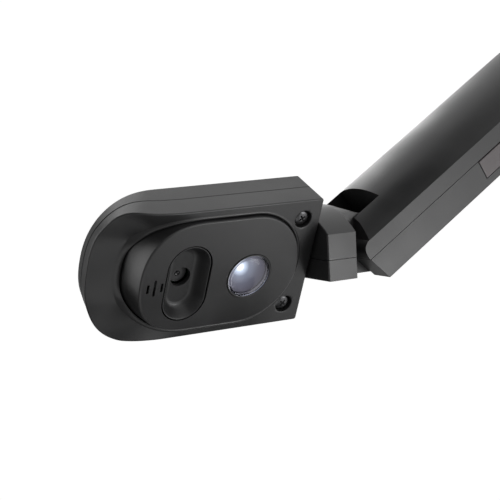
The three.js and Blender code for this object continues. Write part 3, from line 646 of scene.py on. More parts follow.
def end_outline(depth, straight, roundness, length):
    half = HEAD_WIDTH / 2 - depth
    corner = max(HEAD_CORNER - depth, 0.1)
    quarter = math.pi / 2
    side = np.linspace(depth + corner, straight, 34)[1:-1]
    end = arc((0, straight), half, length - straight - depth, roundness, 0, math.pi, 96)
    floor_line = np.linspace(corner - half, half - corner, 24)[1:-1]
    return np.vstack([
        arc((half - corner, depth + corner), corner, corner, 2, -quarter, 0, 7),
        np.column_stack([np.full(len(side), half), side]),
        end,
        np.column_stack([np.full(len(side), -half), side[::-1]]),
        arc((corner - half, depth + corner), corner, corner, 2, math.pi, math.pi + quarter, 7),
        np.column_stack([floor_line, np.full(len(floor_line), depth)])])


def head_outline(depth, share):
    """The outline at an inset, from the back edge (share 0) to the front rim (share 1)."""
    return (1 - share) * end_outline(depth, *BACK_END) + share * end_outline(depth, *FRONT_END)


outer = head_outline(0, 1)
POINTS = len(outer)
RIM = FRONT - smooth_drop(outer[:, 1], RIM_ALONG, RIM_DROP)
SEAM = BACK + SEAM_SHARE * (RIM - BACK)


def clipped(outline, stop):
    return np.column_stack([outline[:, 0], np.minimum(outline[:, 1], stop)])


print("points round the head:", POINTS, "rim drops to", round(float(RIM.min()), 1))

# %% [markdown]
# ## Back cover
# The back cover is a tray. Its back edge is rounded, more so at the free end, and its
# rim stops at the seam with a tiny chamfer, which makes the dark line between the
# two shells. Two posts for the screws and the bearing of the head's spindle stand
# inside it.

# %% The back cover of the head
EDGE_STEPS = 7
SEAM_CHAMFER = 0.12
DEEPEST_ROUND = 0.75
TRAY_END = 70
back_edge = head_outline(0, 0)
back_round = 0.3 + 0.6 * ease(back_edge[:, 1], 66, 82)[:, None]
inward = head_outline(1, 0) - back_edge
rings = []
for turn in np.linspace(0, math.pi / 2, EDGE_STEPS):
    depth = np.minimum(back_round * (1 - math.sin(turn)), DEEPEST_ROUND)
    height = BACK + back_round * (1 - math.cos(turn))
    rings.append(lift(back_edge + depth * inward, height[:, 0]))
rings.append(lift(head_outline(0, SEAM_SHARE), SEAM - SEAM_CHAMFER))
rings.append(lift(head_outline(SEAM_CHAMFER, SEAM_SHARE), SEAM))
inner = clipped(head_outline(HEAD_WALL, 0), TRAY_END)
rings.append(lift(inner, SEAM))
rings.append(lift(inner, BACK + HEAD_WALL))
back_cover = ring_skin("back_cover", rings, FACE)

SCREW_SPOTS = [(-17.4, 7.0), (17.4, 7.0)]
SPINDLE_REACH = 4.9
SPINDLE_BORE, COLLAR_BORE = 2.8, 3.4
SHANK_BORE = 1.6
seam_flat = SEAM_SHARE * HEAD_DEPTH + BACK
posts = bars_up(2.8, BACK + 1, seam_flat, SCREW_SPOTS, FACE, 32)
bearing = block("bearing", (-6, 1, BACK + 1), (6, SPINDLE_REACH, seam_flat), FACE)
combine(back_cover, [*posts, bearing], "UNION")
ALONG_Y = Matrix(((0, 1, 0, 0), (0, 0, 1, 0), (1, 0, 0, 0), (0, 0, 0, 1)))
roll_line = [(-HEAD_FORWARD, 0)]
combine(back_cover, [
    *bars_up(SPINDLE_BORE, -1, SPINDLE_REACH + 1, roll_line, FACE @ ALONG_Y, 40),
    *bars_up(COLLAR_BORE, 2.0, 4.5, roll_line, FACE @ ALONG_Y, 40),
    *bars_up(SHANK_BORE, -6.2, 8, SCREW_SPOTS, FACE, 24)])
hand_over(back_cover, BLACK_PLASTIC, "head", "black_shell", "head_back_cover")

# %% [markdown]
# ## The pad's outline
# The raised pad is an oval with straight sides. Its wall leans out as it goes down,
# and its far end leans twice as much. The lean is written as a growth of the outline,
# so any ring round the pad is the outline plus a growth, at a height. To join the
# head's outline to the pad's with quads, each pad point is taken in the same direction
# from the middle as the head point that it will meet.

# %% The pad's outline
PAD_TOP = FRONT + 2
PAD_NEAR, PAD_FAR = 6.6, 68.7
PAD_HALF_WIDTH = 21.1
PAD_NEAR_ROUND, PAD_FAR_ROUND = 20.4, 22.7
PAD_DRAFT = math.tan(math.radians(6.5))
PAD_FAR_LEAN = 2.0
MIDDLE = np.array((0, 38.0))


def pad_table():
    """Dense points of the pad's outline and how each moves as the outline grows by 1."""
    far_lean = np.array((1, PAD_FAR_LEAN))
    far = arc((0, 0), 1, 1, 2.4, 0, math.pi, 900)
    near = arc((0, 0), 1, 1, 2, math.pi, math.tau, 900)
    points = np.vstack([
        far * (PAD_HALF_WIDTH, PAD_FAR_ROUND) + (0, PAD_FAR - PAD_FAR_ROUND),
        near * (PAD_HALF_WIDTH, PAD_NEAR_ROUND) + (0, PAD_NEAR + PAD_NEAR_ROUND)])
    growth = np.vstack([far * far_lean, near])
    way = np.unwrap(np.arctan2(*(points - MIDDLE).T[::-1]))
    return way, points, growth


def match_directions(targets):
    way, points, growth = pad_table()
    wanted = np.arctan2(*(targets - MIDDLE).T[::-1])
    wanted = (wanted - way[0]) % math.tau + way[0]

    def pick(values):
        closed = np.vstack([values, values[:1]])
        turns = np.append(way, way[0] + math.tau)
        return np.column_stack([np.interp(wanted, turns, closed[:, i]) for i in range(2)])
    return pick(points), pick(growth)


PAD_POINTS, PAD_GROWTH = match_directions(outer)


def pad_ring(grow, height):
    """The pad's outline at a height, with the wall's lean, plus a growth of its own."""
    lean = (PAD_TOP - height) * PAD_DRAFT
    return lift(PAD_POINTS + PAD_GROWTH * np.reshape(grow + lean, (-1, 1)), height)


def foot_ring(grow, above=0.0):
    """A ring on the front face, round the foot of the pad's wall."""
    height = np.full(POINTS, FRONT)
    for _ in range(6):
        height = FRONT - smooth_drop(pad_ring(grow, height)[:, 1], FOOT_ALONG, FOOT_DROP) + above
    return pad_ring(grow, height)


print("pad wall ends at", np.round(foot_ring(0).max(0)[1:], 1), "mm")

# %% [markdown]
# ## Front shell
# The front shell is one closed loop of rings: up the side wall, round the front edge,
# across the face, over a low lip, down through the pad's opening and back along the
# inside. The face falls away towards the free end on a smooth step, so each ring on
# it takes its height from its own place along the head.

# %% The front shell of the head
SEAM_GAP = 0.2
FRONT_ROUND = 0.5
LIP_WIDTH, LIP_HEIGHT = 1.15, 0.3
OPENING_GAP = 0.3
FACE_RINGS = 14
CUP_END = 72

rings = [lift(head_outline(SEAM_CHAMFER, SEAM_SHARE), SEAM + SEAM_GAP),
         lift(head_outline(0, SEAM_SHARE), SEAM + SEAM_GAP + SEAM_CHAMFER)]
rings += rounded_rim(lambda depth: head_outline(depth, 1), RIM, FRONT_ROUND, EDGE_STEPS)
rim_ring = rings[-1]
lip_foot = foot_ring(OPENING_GAP + LIP_WIDTH)
for share in np.linspace(0, 1, FACE_RINGS)[1:-1]:
    rings.append((1 - share) * rim_ring + share * lip_foot)
for share in np.linspace(0, 1, 8):
    rings.append(foot_ring(OPENING_GAP + LIP_WIDTH * (1 - share),
                           LIP_HEIGHT * math.sin(math.pi * share) ** 0.8))
rings.append(foot_ring(OPENING_GAP, -HEAD_WALL))
cup = clipped(head_outline(HEAD_WALL, SEAM_SHARE), CUP_END)
rings.append(lift(cup, np.minimum(RIM - HEAD_WALL, foot_ring(OPENING_GAP, -HEAD_WALL)[:, 2])))
rings.append(lift(cup, SEAM + SEAM_GAP))
front_shell = ring_skin("front_shell", rings, FACE, loop=True)

SCREW_SEAT = FRONT - 2.7
RECESS_RADIUS = 3.3
CUP_RADIUS = 4.4
combine(front_shell, bars_up(CUP_RADIUS, SCREW_SEAT - 1.5, FRONT - 1, SCREW_SPOTS, FACE), "UNION")
recess = [(RECESS_RADIUS, SCREW_SEAT), (RECESS_RADIUS, FRONT - 0.25),
          (RECESS_RADIUS + 0.07, FRONT - 0.1), (RECESS_RADIUS + 0.28, FRONT + 0.02),
          (RECESS_RADIUS + 0.4, FRONT + 2)]
combine(front_shell, [*[turned("recess", recess, spot, FACE) for spot in SCREW_SPOTS],
                      *bars_up(SHANK_BORE, BACK, FRONT, SCREW_SPOTS, FACE, 24)])
hand_over(front_shell, BLACK_PLASTIC, "head", "black_shell", "head_front_shell")

# %% [markdown]
# ## The pad
# The pad is a deep cup, upside down. Its top is very slightly crowned, as a moulded
# face is, and its edge is rounded. The openings for the light and the camera are
# Boolean cuts with a flared cutter, which leaves a small lead-in round each hole.

# %% The pad with its openings
PAD_EDGE = 0.5
PAD_CROWN = 0.6
PAD_WALL = 1.6
PAD_FOOT = PAD_TOP - 11.6
PLATE_UNDER = PAD_TOP - 1.8
OPTIC_LINE = -2.0
LIGHT_SPOT = (OPTIC_LINE, 26.1)
WELL_SPOT = (OPTIC_LINE, 50.6)
LIGHT_RADIUS = 8.6
WELL_HALF_WIDTH, WELL_HALF_LENGTH = 8.1, 14.35


def crowned(ring):
    ring = ring.copy()
    ring[:, 2] -= PAD_CROWN * (ring[:, 0] / PAD_HALF_WIDTH) ** 2
    return ring


def stadium(depth, spot, half_width=WELL_HALF_WIDTH, half_length=WELL_HALF_LENGTH, steps=28):
    """A slot outline that is long across the head."""
    radius = half_width - depth
    reach = half_length - half_width
    quarter = math.pi / 2
    return np.vstack([
        arc((spot[0] + reach, spot[1]), radius, radius, 2, -quarter, quarter, steps),
        arc((spot[0] - reach, spot[1]), radius, radius, 2, quarter, 3 * quarter, steps)])


rings = [pad_ring(-PAD_WALL, PLATE_UNDER), pad_ring(-PAD_WALL, PAD_FOOT), pad_ring(0, PAD_FOOT)]
for height in np.linspace(PAD_FOOT, PAD_TOP - PAD_EDGE, 7)[1:-1]:
    rings.append(pad_ring(0, height))
for turn in np.linspace(0, math.pi / 2, EDGE_STEPS):
    height = PAD_TOP - PAD_EDGE * (1 - math.sin(turn))
    rings.append(crowned(pad_ring(-PAD_EDGE * (1 - math.cos(turn)), height)))
top_ring = pad_ring(-PAD_EDGE, PAD_TOP)
for share in np.linspace(1, 0.08, 14)[1:]:
    rings.append(crowned(lift(MIDDLE + share * (top_ring[:, :2] - MIDDLE), PAD_TOP)))
camera_pad = ring_skin("pad", rings, FACE)

# Each flare is a growth of the opening and a height.
LIGHT_FLARE = ((0.12, 0), (0.12, PAD_TOP - 0.2), (0.18, PAD_TOP - 0.08),
               (0.34, PAD_TOP + 0.02), (0.5, PAD_TOP + 1))
WELL_FLARE = ((0.45, 0), (0.45, PAD_TOP - 0.25), (0.5, PAD_TOP - 0.1), (0.6, PAD_TOP),
              (0.9, PAD_TOP + 1))
light_hole = turned("hole", [(LIGHT_RADIUS + grow, z) for grow, z in LIGHT_FLARE],
                    LIGHT_SPOT, FACE, 96)
well_hole = ring_skin("hole", lifted(lambda grow: stadium(-grow, WELL_SPOT), WELL_FLARE), FACE)
combine(camera_pad, [light_hole, well_hole])
print("pad faces:", len(camera_pad.data.polygons))

# %% [markdown]
# ## Copies on points
# Screws and slots repeat, so one Geometry Nodes tree places them all. It is given a
# cloud of points. Each point carries its own turn and stretch, and the tree puts one
# copy of a master shape there, with a little random spin for screws. The copies are
# then made real and painted. The result is baked to a plain mesh.

# %% A tree that puts copies on points
def new_tree(name, output, *inputs):
    """A tree with named inputs (label, kind, value), one output and its two end nodes."""
    tree = bpy.data.node_groups.new(name, "GeometryNodeTree")
    for label, kind, value in inputs:
        socket = tree.interface.new_socket(
            label, in_out="INPUT", socket_type="NodeSocket" + kind)
        if value is not None:
            socket.default_value = value
    tree.interface.new_socket(output, in_out="OUTPUT", socket_type="NodeSocketGeometry")
    return tree, new_node(tree, "NodeGroupInput"), new_node(tree, "NodeGroupOutput")


def wire(tree, *wires):
    for start, output, end, socket in wires:
        tree.links.new(start.outputs[output], end.inputs[socket])


def make_real(tree, start, copies, finish, output):
    """Ends a tree: the copies are made real and painted."""
    real = new_node(tree, "GeometryNodeRealizeInstances")
    painted = new_node(tree, "GeometryNodeSetMaterial")
    wire(tree, (copies, "Instances", real, "Geometry"), (real, "Geometry", painted, "Geometry"),
         (start, "Paint", painted, "Material"), (painted, "Geometry", finish, output))


def copies_tree():
    tree, start, finish = new_tree(
        "copies_on_points", "Copies", ("Points", "Geometry", None), ("Master", "Object", None),
        ("Spin", "Float", 0.0), ("Seed", "Int", 7), ("Paint", "Material", None))
    master = new_node(tree, "GeometryNodeObjectInfo")
    turn, stretch = (
        new_node(tree, "GeometryNodeInputNamedAttribute", data_type="FLOAT_VECTOR", Name=name)
        for name in ("turn", "stretch"))
    rotation = new_node(tree, "FunctionNodeEulerToRotation")
    chance = new_node(tree, "FunctionNodeRandomValue", data_type="FLOAT")
    about_z = new_node(tree, "ShaderNodeCombineXYZ")
    spin = new_node(tree, "FunctionNodeEulerToRotation")
    both = new_node(tree, "FunctionNodeRotateRotation", rotation_space="LOCAL")
    copies = new_node(tree, "GeometryNodeInstanceOnPoints")
    low, high = [s for s in chance.inputs if s.type == "VALUE"][:2]
    low.default_value = 0
    tree.links.new(start.outputs["Spin"], high)
    tree.links.new(next(s for s in chance.outputs if s.type == "VALUE"), about_z.inputs["Z"])
    wire(tree,
         (start, "Master", master, "Object"), (start, "Seed", chance, "Seed"),
         (about_z, "Vector", spin, "Euler"), (turn, "Attribute", rotation, "Euler"),
         (rotation, "Rotation", both, "Rotation"), (spin, "Rotation", both, "Rotate By"),
         (start, "Points", copies, "Points"), (master, "Geometry", copies, "Instance"),
         (both, "Rotation", copies, "Rotation"), (stretch, "Attribute", copies, "Scale"))
    make_real(tree, start, copies, finish, "Copies")
    return tree


def grow(name, tree, points, **inputs):
    """Runs a tree on a cloud of points and keeps the result as a plain mesh."""
    cloud = bpy.data.meshes.new(name)
    cloud.from_pydata([tuple(spot) for spot, _, _ in points], [], [])
    for label, values in (("turn", [turn for _, turn, _ in points]),
                          ("stretch", [stretch for _, _, stretch in points])):
        layer = cloud.attributes.new(label, "FLOAT_VECTOR", "POINT")
        layer.data.foreach_set("vector", np.array(values, float).ravel())
    piece = bpy.data.objects.new(name, cloud)
    bpy.context.scene.collection.objects.link(piece)
    step = piece.modifiers.new("grown", "NODES")
    step.node_group = tree
    for socket in tree.interface.items_tree:
        key = socket.name.lower()
        if socket.in_out == "INPUT" and key in inputs:
            step[socket.identifier] = inputs[key]
    bake_modifiers(piece)
    turn_outward(piece)
    return piece


def spots(place, turn, places, stretches=None):
    """Points for the tree: where, which way round, and how stretched."""
    angles = tuple((place @ turn).to_3x3().normalized().to_euler())
    return [(place @ Vector(where), angles, stretches[i] if stretches else (1, 1, 1))
            for i, where in enumerate(places)]


COPIES = copies_tree()
UPRIGHT = Matrix.Identity(4)
print("tree inputs:", [s.name for s in COPIES.interface.items_tree if s.in_out == "INPUT"])

# %% [markdown]
# ## Microphone slots
# Three slots in a row, the middle one longer. The tree puts three copies of one slot
# cutter on the pad, each stretched to its own length, and one Boolean cuts them.

# %% Microphone slots in the pad
SLOT_WIDTH = 0.9
SLOT_LENGTH = 6.4
MIC_SLOTS = [(60.35, 3.4), (63.05, 6.4), (65.6, 3.4)]
slot_master = ring_skin("slot", [lift(stadium(0, (0, 0), SLOT_WIDTH / 2, SLOT_LENGTH / 2, 10), z)
                                 for z in (-3, 2)], ROW)
slot_spots = spots(FACE, UPRIGHT, [(OPTIC_LINE, y, PAD_TOP) for y, _ in MIC_SLOTS],
                   [(length / SLOT_LENGTH, 1, 1) for _, length in MIC_SLOTS])
slot_cutters = grow("slots", COPIES, slot_spots, master=slot_master, paint=BLACK_PLASTIC)
bpy.data.objects.remove(slot_master)
combine(camera_pad, [slot_cutters])
hand_over(camera_pad, BLACK_PLASTIC, "head", "black_shell", "camera_pad")

# %% [markdown]
# ## Camera
# The camera sits at the bottom of a scoop, so that the lens looks at the desk past the
# pad. The scoop is a separate insert. Its walls roll smoothly into a flat floor, and a
# round counterbore in the floor shows the end of the barrel with its small lens.

# %% The scoop, the barrel and the lens
WELL_DEPTH = 5
WELL_FLOOR = PAD_TOP - WELL_DEPTH
WELL_PROFILE = (
    # how far in from the opening, how far below the pad's top
    (0, WELL_DEPTH + 1.6), (0, 0.4), (0.08, 0.32), (0.2, 0.3), (0.3, 0.36), (0.5, 0.62),
    (1.15, 1.75), (1.85, 3.0), (2.35, 3.8), (2.8, 4.35), (3.3, 4.72), (3.9, 4.93),
    (4.6, WELL_DEPTH))
BARREL_RADIUS = 3.35
BARREL_TOP = 2.65
BARREL_FOOT = -3.3
LENS_RADIUS = 0.98
lens_well = ring_skin("well", lifted(
    lambda depth: stadium(depth, WELL_SPOT),
    [(depth, PAD_TOP - fall) for depth, fall in WELL_PROFILE]), FACE)
counterbore = turned("bore", [
    (BARREL_RADIUS + 0.3, 0), (BARREL_RADIUS + 0.3, WELL_FLOOR - 0.12),
    (BARREL_RADIUS + 0.4, WELL_FLOOR + 0.02), (BARREL_RADIUS + 0.55, PAD_TOP)],
    WELL_SPOT, FACE, 72)
combine(lens_well, [counterbore])
hand_over(lens_well, BLACK_PLASTIC, "head", "black_shell", "lens_well")

barrel = turned("barrel", [
    (0.4, BARREL_FOOT), (BARREL_RADIUS, BARREL_FOOT), (BARREL_RADIUS, BARREL_TOP - 0.15),
    (BARREL_RADIUS - 0.15, BARREL_TOP), (LENS_RADIUS + 0.1, BARREL_TOP),
    (LENS_RADIUS + 0.05, BARREL_TOP - 0.06), (LENS_RADIUS + 0.05, BARREL_TOP - 0.9),
    (0.4, BARREL_TOP - 0.9)], WELL_SPOT, FACE, 72)
hand_over(barrel, BARREL_SATIN, "head", "black_steel", "camera_barrel")

lens_glass = turned("lens", [
    (0.3, BARREL_TOP - 0.6), (LENS_RADIUS, BARREL_TOP - 0.6), (LENS_RADIUS, BARREL_TOP - 0.25),
    (0.8, BARREL_TOP - 0.4), (0.3, BARREL_TOP - 0.5)], WELL_SPOT, FACE, 48)
hand_over(lens_glass, LENS_GLASS, "head", "clear_lens", "camera_lens_glass")

# %% [markdown]
# ## Work light
# A black ring holds a clear dome with a stepped flange. Under the dome sits a bowl,
# and the light of the chip below it is painted onto the bowl as an emission. The painted
# glow is strongest over the chip and fades outwards: its colour is read from the
# distance to the light's axis.

# %% The light's ring, dome and bowl
light_bezel = turned("bezel", [
    (8.6, 2.7), (8.6, PAD_TOP + 0.02), (8.56, PAD_TOP + 0.12), (8.48, PAD_TOP + 0.15),
    (8.3, PAD_TOP + 0.15), (8.18, PAD_TOP + 0.1), (8.15, PAD_TOP), (8.15, 8.3), (7.45, 8.3),
    (7.45, 2.7)], LIGHT_SPOT, FACE, 96, loop=True)
hand_over(light_bezel, BLACK_PLASTIC, "head", "black_shell", "light_bezel")

DOME_RADIUS, DOME_RISE = 7.15, 1.5
dome = [(DOME_RADIUS * share, PAD_TOP + 0.3 + DOME_RISE * (1 - share ** 2.2))
        for share in np.linspace(1, 0.05, 18)]
light_lens = turned("lens", [
    (0.3, 6.7), (7.3, 6.7), (7.3, 8.5), (8.0, 8.5), (8.0, PAD_TOP + 0.02), (7.92, PAD_TOP + 0.1),
    (7.3, PAD_TOP + 0.1), (7.18, PAD_TOP + 0.16), *dome], LIGHT_SPOT, FACE, 96)
hand_over(light_lens, DOME_CLEAR, "head", "clear_lens", "light_lens", sharp_degrees=25)

BOWL_LOW, BOWL_FLOOR, BOWL_RISE = 3.95, 4.25, 2.1
bowl = [(r, BOWL_FLOOR + BOWL_RISE * (r / BOWL_RADIUS) ** 2.4) for r in np.linspace(7.0, 0.3, 16)]
reflector = turned("light_bowl", [
    (0.3, BOWL_LOW), (BOWL_RADIUS, BOWL_LOW), (BOWL_RADIUS, BOWL_FLOOR + BOWL_RISE), *bowl],
    LIGHT_SPOT, FACE, 96)
light_axis = FACE.to_3x3() @ Vector((0, 0, 1))
# The bowl gets a painted emission that stands in for the chip's light falling on it.
hand_over(reflector, bowl_glow(FACE @ Vector((*LIGHT_SPOT, 5)), light_axis), "head", "lamp")

# %% [markdown]
# ## Screws
# All ten screws are the same black pan-head screw with a cross recess. One master is
# turned and cut, and the tree places it at the head, the neck, the sleeve and under
# the base, with each recess turned at random, as an assembler leaves them.

# %% Screws from one master
SCREW_RADIUS, SHANK_RADIUS = 2.85, 1.3
SCREW_SIDE, SCREW_CROWN = 0.75, 0.95     # heights of the head's wall and of its crown
SCREW_LIFT = 0.3                         # from the floor of a recess to the screw's seat
CROSS = ((0.5, 0.25, 0.3), (1.35, 0.32, 1.25), (1.35, 0.32, 3))  # half length, half width, height


def screw_master(length):
    head = [(SHANK_RADIUS, -length), (SHANK_RADIUS, 0), (SCREW_RADIUS - 0.1, 0),
            (SCREW_RADIUS, 0.12), (SCREW_RADIUS, SCREW_SIDE)]
    head += [(SCREW_RADIUS * math.cos(t) ** 0.7, SCREW_SIDE + SCREW_CROWN * math.sin(t))
             for t in np.linspace(0.15, 1.45, 9)]
    screw = turned("screw", head, (0, 0), ROW, 48)
    arms = []
    for turn in (0, math.pi / 2):
        rings = [lift(np.array([(-x, -y), (x, -y), (x, y), (-x, y)]), z) for x, y, z in CROSS]
        arms.append(ring_skin("arm", rings, ROW @ Matrix.Rotation(turn, 4, "Z")))
    combine(screw, arms)
    smooth_shade(screw, 30)
    return screw


def set_screws(name, body, points, length, *nodes):
    master = screw_master(length)
    screws = grow(name, COPIES, points, master=master, spin=1.5, seed=len(name), paint=BLACK_STEEL)
    bpy.data.objects.remove(master)
    hand_over(screws, BLACK_STEEL, body, "black_steel", *nodes, sharp_degrees=30)


TO_FRONT = Matrix.Rotation(math.pi / 2, 4, "X")      # a screw's top turned to face -Y
TO_BELOW = Matrix.Rotation(math.pi, 4, "X")
set_screws("head_screws", "head",
           spots(FACE, UPRIGHT, [(x, y, SCREW_SEAT + SCREW_LIFT) for x, y in SCREW_SPOTS]), 8.5,
           "head_screw_1", "head_screw_2")

# %% [markdown]
# ## The arm's section
# The column, the sleeve and the neck share one section, like a loaf of bread: a flat
# front, flat sides and an arched back. The neck and the sleeve are cut from a solid
# of that section with side views, the way a mould is made, and split at a seam.

# %% The arm's section and its cutters
ARM_WIDTH = 43.2
ARM_SIDE = 16.6
ARCH_RADIUS = 31.6
ARM_WALL = 2.1
FLAT = -ARM_SIDE / 2
WIDE = 60


def loaf(depth, steps=96):
    half = ARM_WIDTH / 2 - depth
    radius = ARCH_RADIUS - depth
    centre = ARM_SIDE / 2 - math.sqrt(ARCH_RADIUS ** 2 - (ARM_WIDTH / 2) ** 2)
    angle = np.linspace(1, -1, steps) * math.asin(half / radius)
    return np.vstack([[(-half, FLAT + depth), (half, FLAT + depth)],
                      np.column_stack([radius * np.sin(angle), centre + radius * np.cos(angle)])])


def bar_across(radius, low, high, spot, place, sides=64):
    """A bar along X at (y, z)."""
    return turned("bar", [(radius, low), (radius, high)], spot, place @ ACROSS, sides)


def bars_through(radius, low, high, places, place):
    """Bars along Y, one at each (x, z)."""
    return bars_up(radius, low, high, [(z, x) for x, z in places], place @ ALONG_Y)


def part_of(piece, name, low, high, place):
    part = bpy.data.objects.new(name, piece.data.copy())
    bpy.context.scene.collection.objects.link(part)
    return combine(part, [block("keep", low, high, place)], "INTERSECT")


# %% [markdown]
# ## Neck
# The neck is a block of the full section with a narrower knuckle that rounds over
# the hinge pin. Its far end carries the bush that the head's spindle turns in. It is
# split into a body and a cover, held by two screws from the flat side.

# %% The neck's two halves
NECK_SHOULDER, NECK_END = 14.1, 26.4
NECK_SEAM = -0.8
KNUCKLE_HALF = 11.6
KNUCKLE_BACK, KNUCKLE_DROP = 12.6, 12.3
BUSH_RADIUS = 4.2
BORE_GAP = 0.3
NUT_RADIUS = 4.9
ROLL_SPOT = [(0, ROLL_AXIS_Y)]
SEAM_HALF = 0.1
NECK_SCREWS = [(-16, 20.3), (16, 20.3)]
NECK_RECESS = 3

knuckle_side = np.vstack([
    [(18, NECK_SHOULDER + 3), (FLAT, NECK_SHOULDER + 3)],
    arc((0, 0), -FLAT, KNUCKLE_DROP, 2, math.pi, 1.5 * math.pi, 24),
    arc((0, 0), KNUCKLE_BACK, KNUCKLE_DROP, 2, 1.5 * math.pi, math.tau, 24)[1:],
    [(13.0, 3.0), (13.7, 6.0), (14.6, 9.0), (15.8, 11.6), (18, NECK_SHOULDER)]])
knuckle = side_slab("knuckle", knuckle_side, -KNUCKLE_HALF, KNUCKLE_HALF, NECK, 0.35)
combine(knuckle, [slab("section", loaf(0.02), -20, NECK_SHOULDER + 2, NECK)], "INTERSECT")
neck = slab("neck", loaf(0), NECK_SHOULDER, NECK_END, NECK, 0.55, 0.3)
combine(neck, [knuckle], "UNION")
combine(neck, [
    bar_across(BUSH_RADIUS + BORE_GAP, -13, 13, (0, 0), NECK),
    *bars_up(BUSH_RADIUS + BORE_GAP, 20.7, NECK_END + 1, ROLL_SPOT, NECK),
    *bars_up(NUT_RADIUS, 14.9, 19.5, ROLL_SPOT, NECK, 6),
    *bars_up(SPINDLE_BORE, 10, NECK_END + 1, ROLL_SPOT, NECK),
    *bars_through(SHANK_BORE, -12, 4.5, NECK_SCREWS, NECK),
    *bars_through(RECESS_RADIUS, -12, FLAT + NECK_RECESS, NECK_SCREWS, NECK)])
for name, low, high, node in (("neck_lower", -WIDE, NECK_SEAM - SEAM_HALF, "neck_body"),
                              ("neck_upper", NECK_SEAM + SEAM_HALF, WIDE, "neck_cover")):
    half = part_of(neck, name, (-WIDE, low, -WIDE), (WIDE, high, WIDE), NECK)
    hand_over(half, GREY_PLASTIC, "neck", "grey_shell", node, round_mm=0.2)
bpy.data.objects.remove(neck)
neck_seat = FLAT + NECK_RECESS - SCREW_LIFT
set_screws("neck_screws", "neck",
           spots(NECK, TO_FRONT, [(x, neck_seat, z) for x, z in NECK_SCREWS]), 8.2,
           "neck_screw_1", "neck_screw_2")

# %% [markdown]
# ## Sleeve
# The sleeve holds the hinge pin between two ears and slides on the column. Its top
# edge is drawn from the side: it slopes down over the arch, rounds over at the ears
# and slants back to the flat side. The seam is where the flat sides meet the arch.

# %% The sleeve's two shells
SLEEVE_LENGTH = 205
FORK_HALF, FORK_DEPTH = 12.05, 13.1
EAR_REACH = 8.4
EAR_ROUND = 3.6
ARM_SEAM = 2.2
COLLAR_HEIGHT = 6
KEY_TOP, KEY_LENGTH, KEY_DEPTH = 51.5, 12.3, 7.6
KEY_GAP = 0.25
SLEEVE_SCREWS = [(-14, -24), (14, -24)]
SLEEVE_RECESS = 2.6
PIN_RADIUS = 2.5
WASHER_BORE = 5.3

sleeve_side = np.vstack([
    [(FLAT - 2, -SLEEVE_LENGTH), (20, -SLEEVE_LENGTH), (20, -2.2), (13, 1.2)],
    arc((ARM_SIDE / 2 - EAR_ROUND, EAR_REACH - EAR_ROUND), EAR_ROUND, EAR_ROUND, 2,
        0, math.pi / 2, 16),
    [(3, EAR_REACH), (FLAT, 4.9), (FLAT - 2, 4.3)]])
sleeve = slab("sleeve", loaf(0), -SLEEVE_LENGTH, EAR_REACH + 2, ARM)
combine(sleeve, [side_slab("side", sleeve_side, -WIDE, WIDE, ARM)], "INTERSECT")
combine(sleeve, [slab("cavity", loaf(ARM_WALL), -SLEEVE_LENGTH - 1, -FORK_DEPTH - 3, ARM)])
combine(sleeve, bars_through(3.4, FLAT + 1, ARM_SIDE / 2 + 2, SLEEVE_SCREWS, ARM), "UNION")
combine(sleeve, [
    block("fork", (-FORK_HALF, -WIDE, -FORK_DEPTH), (FORK_HALF, WIDE, WIDE), ARM),
    bar_across(PIN_RADIUS + BORE_GAP, -19.3, 19.3, (0, 0), ARM),
    bar_across(WASHER_BORE, 11, 13.9, (0, 0), ARM),
    bar_across(WASHER_BORE, -13.9, -11, (0, 0), ARM),
    slab("collar_space", loaf(1.2), -SLEEVE_LENGTH - 1, -SLEEVE_LENGTH + COLLAR_HEIGHT + 0.3, ARM),
    block("key_space",
          (ARM_WIDTH / 2 - 6, ARM_SEAM - KEY_DEPTH - KEY_GAP, -KEY_TOP - KEY_LENGTH - KEY_GAP),
          (ARM_WIDTH / 2 + 1, ARM_SEAM - 0.05, -KEY_TOP + KEY_GAP), ARM),
    *bars_through(SHANK_BORE, -20, 6.5, SLEEVE_SCREWS, ARM),
    *bars_through(RECESS_RADIUS, -20, FLAT + SLEEVE_RECESS, SLEEVE_SCREWS, ARM)])
for name, low, high, paint, slot, node in (
        ("sleeve_front", -WIDE, ARM_SEAM - SEAM_HALF, GREY_PLASTIC, "grey_shell",
         "sleeve_front_shell"),
        ("sleeve_rear", ARM_SEAM + SEAM_HALF, WIDE, BLACK_PLASTIC, "black_shell",
         "sleeve_rear_shell")):
    half = part_of(sleeve, name, (-WIDE, low, -400), (WIDE, high, WIDE), ARM)
    hand_over(half, paint, "sleeve", slot, node, round_mm=0.25)
bpy.data.objects.remove(sleeve)
sleeve_seat = FLAT + SLEEVE_RECESS - SCREW_LIFT
set_screws("sleeve_screws", "sleeve",
           spots(ARM, TO_FRONT, [(x, sleeve_seat, z) for x, z in SLEEVE_SCREWS]), 10.5,
           "sleeve_screw_1", "sleeve_screw_2")

# %% [markdown]
# ## Side key and collar
# The side key is a flush cap with one round corner on a short stem, in a warmer and
# paler plastic. The collar at the foot of the sleeve is what slides on the column.

# %% The side key and the collar
KEY_ROUND = 3.0
STEM_RADIUS = 1.6
key_low, key_high = ARM_SEAM - KEY_DEPTH, ARM_SEAM - 0.3
key_bottom = -KEY_TOP - KEY_LENGTH
key_plan = np.vstack([
    arc((key_low + KEY_ROUND, key_bottom + KEY_ROUND), KEY_ROUND, KEY_ROUND, 2,
        math.pi, 1.5 * math.pi, 14),
    [(key_high, key_bottom), (key_high, -KEY_TOP), (key_low, -KEY_TOP)]])
key_side = ARM_WIDTH / 2
key = slab("key", key_plan, key_side - 2.4, key_side + 0.2, ARM @ ACROSS, 0.3, 0)
stem_spot = ((key_low + key_high) / 2, -KEY_TOP - KEY_LENGTH / 2)
combine(key, [bar_across(STEM_RADIUS, key_side - 5.6, key_side - 2, stem_spot, ARM, 32)], "UNION")
hand_over(key, KEY_PLASTIC, "side_key", "dark_key", "side_key")

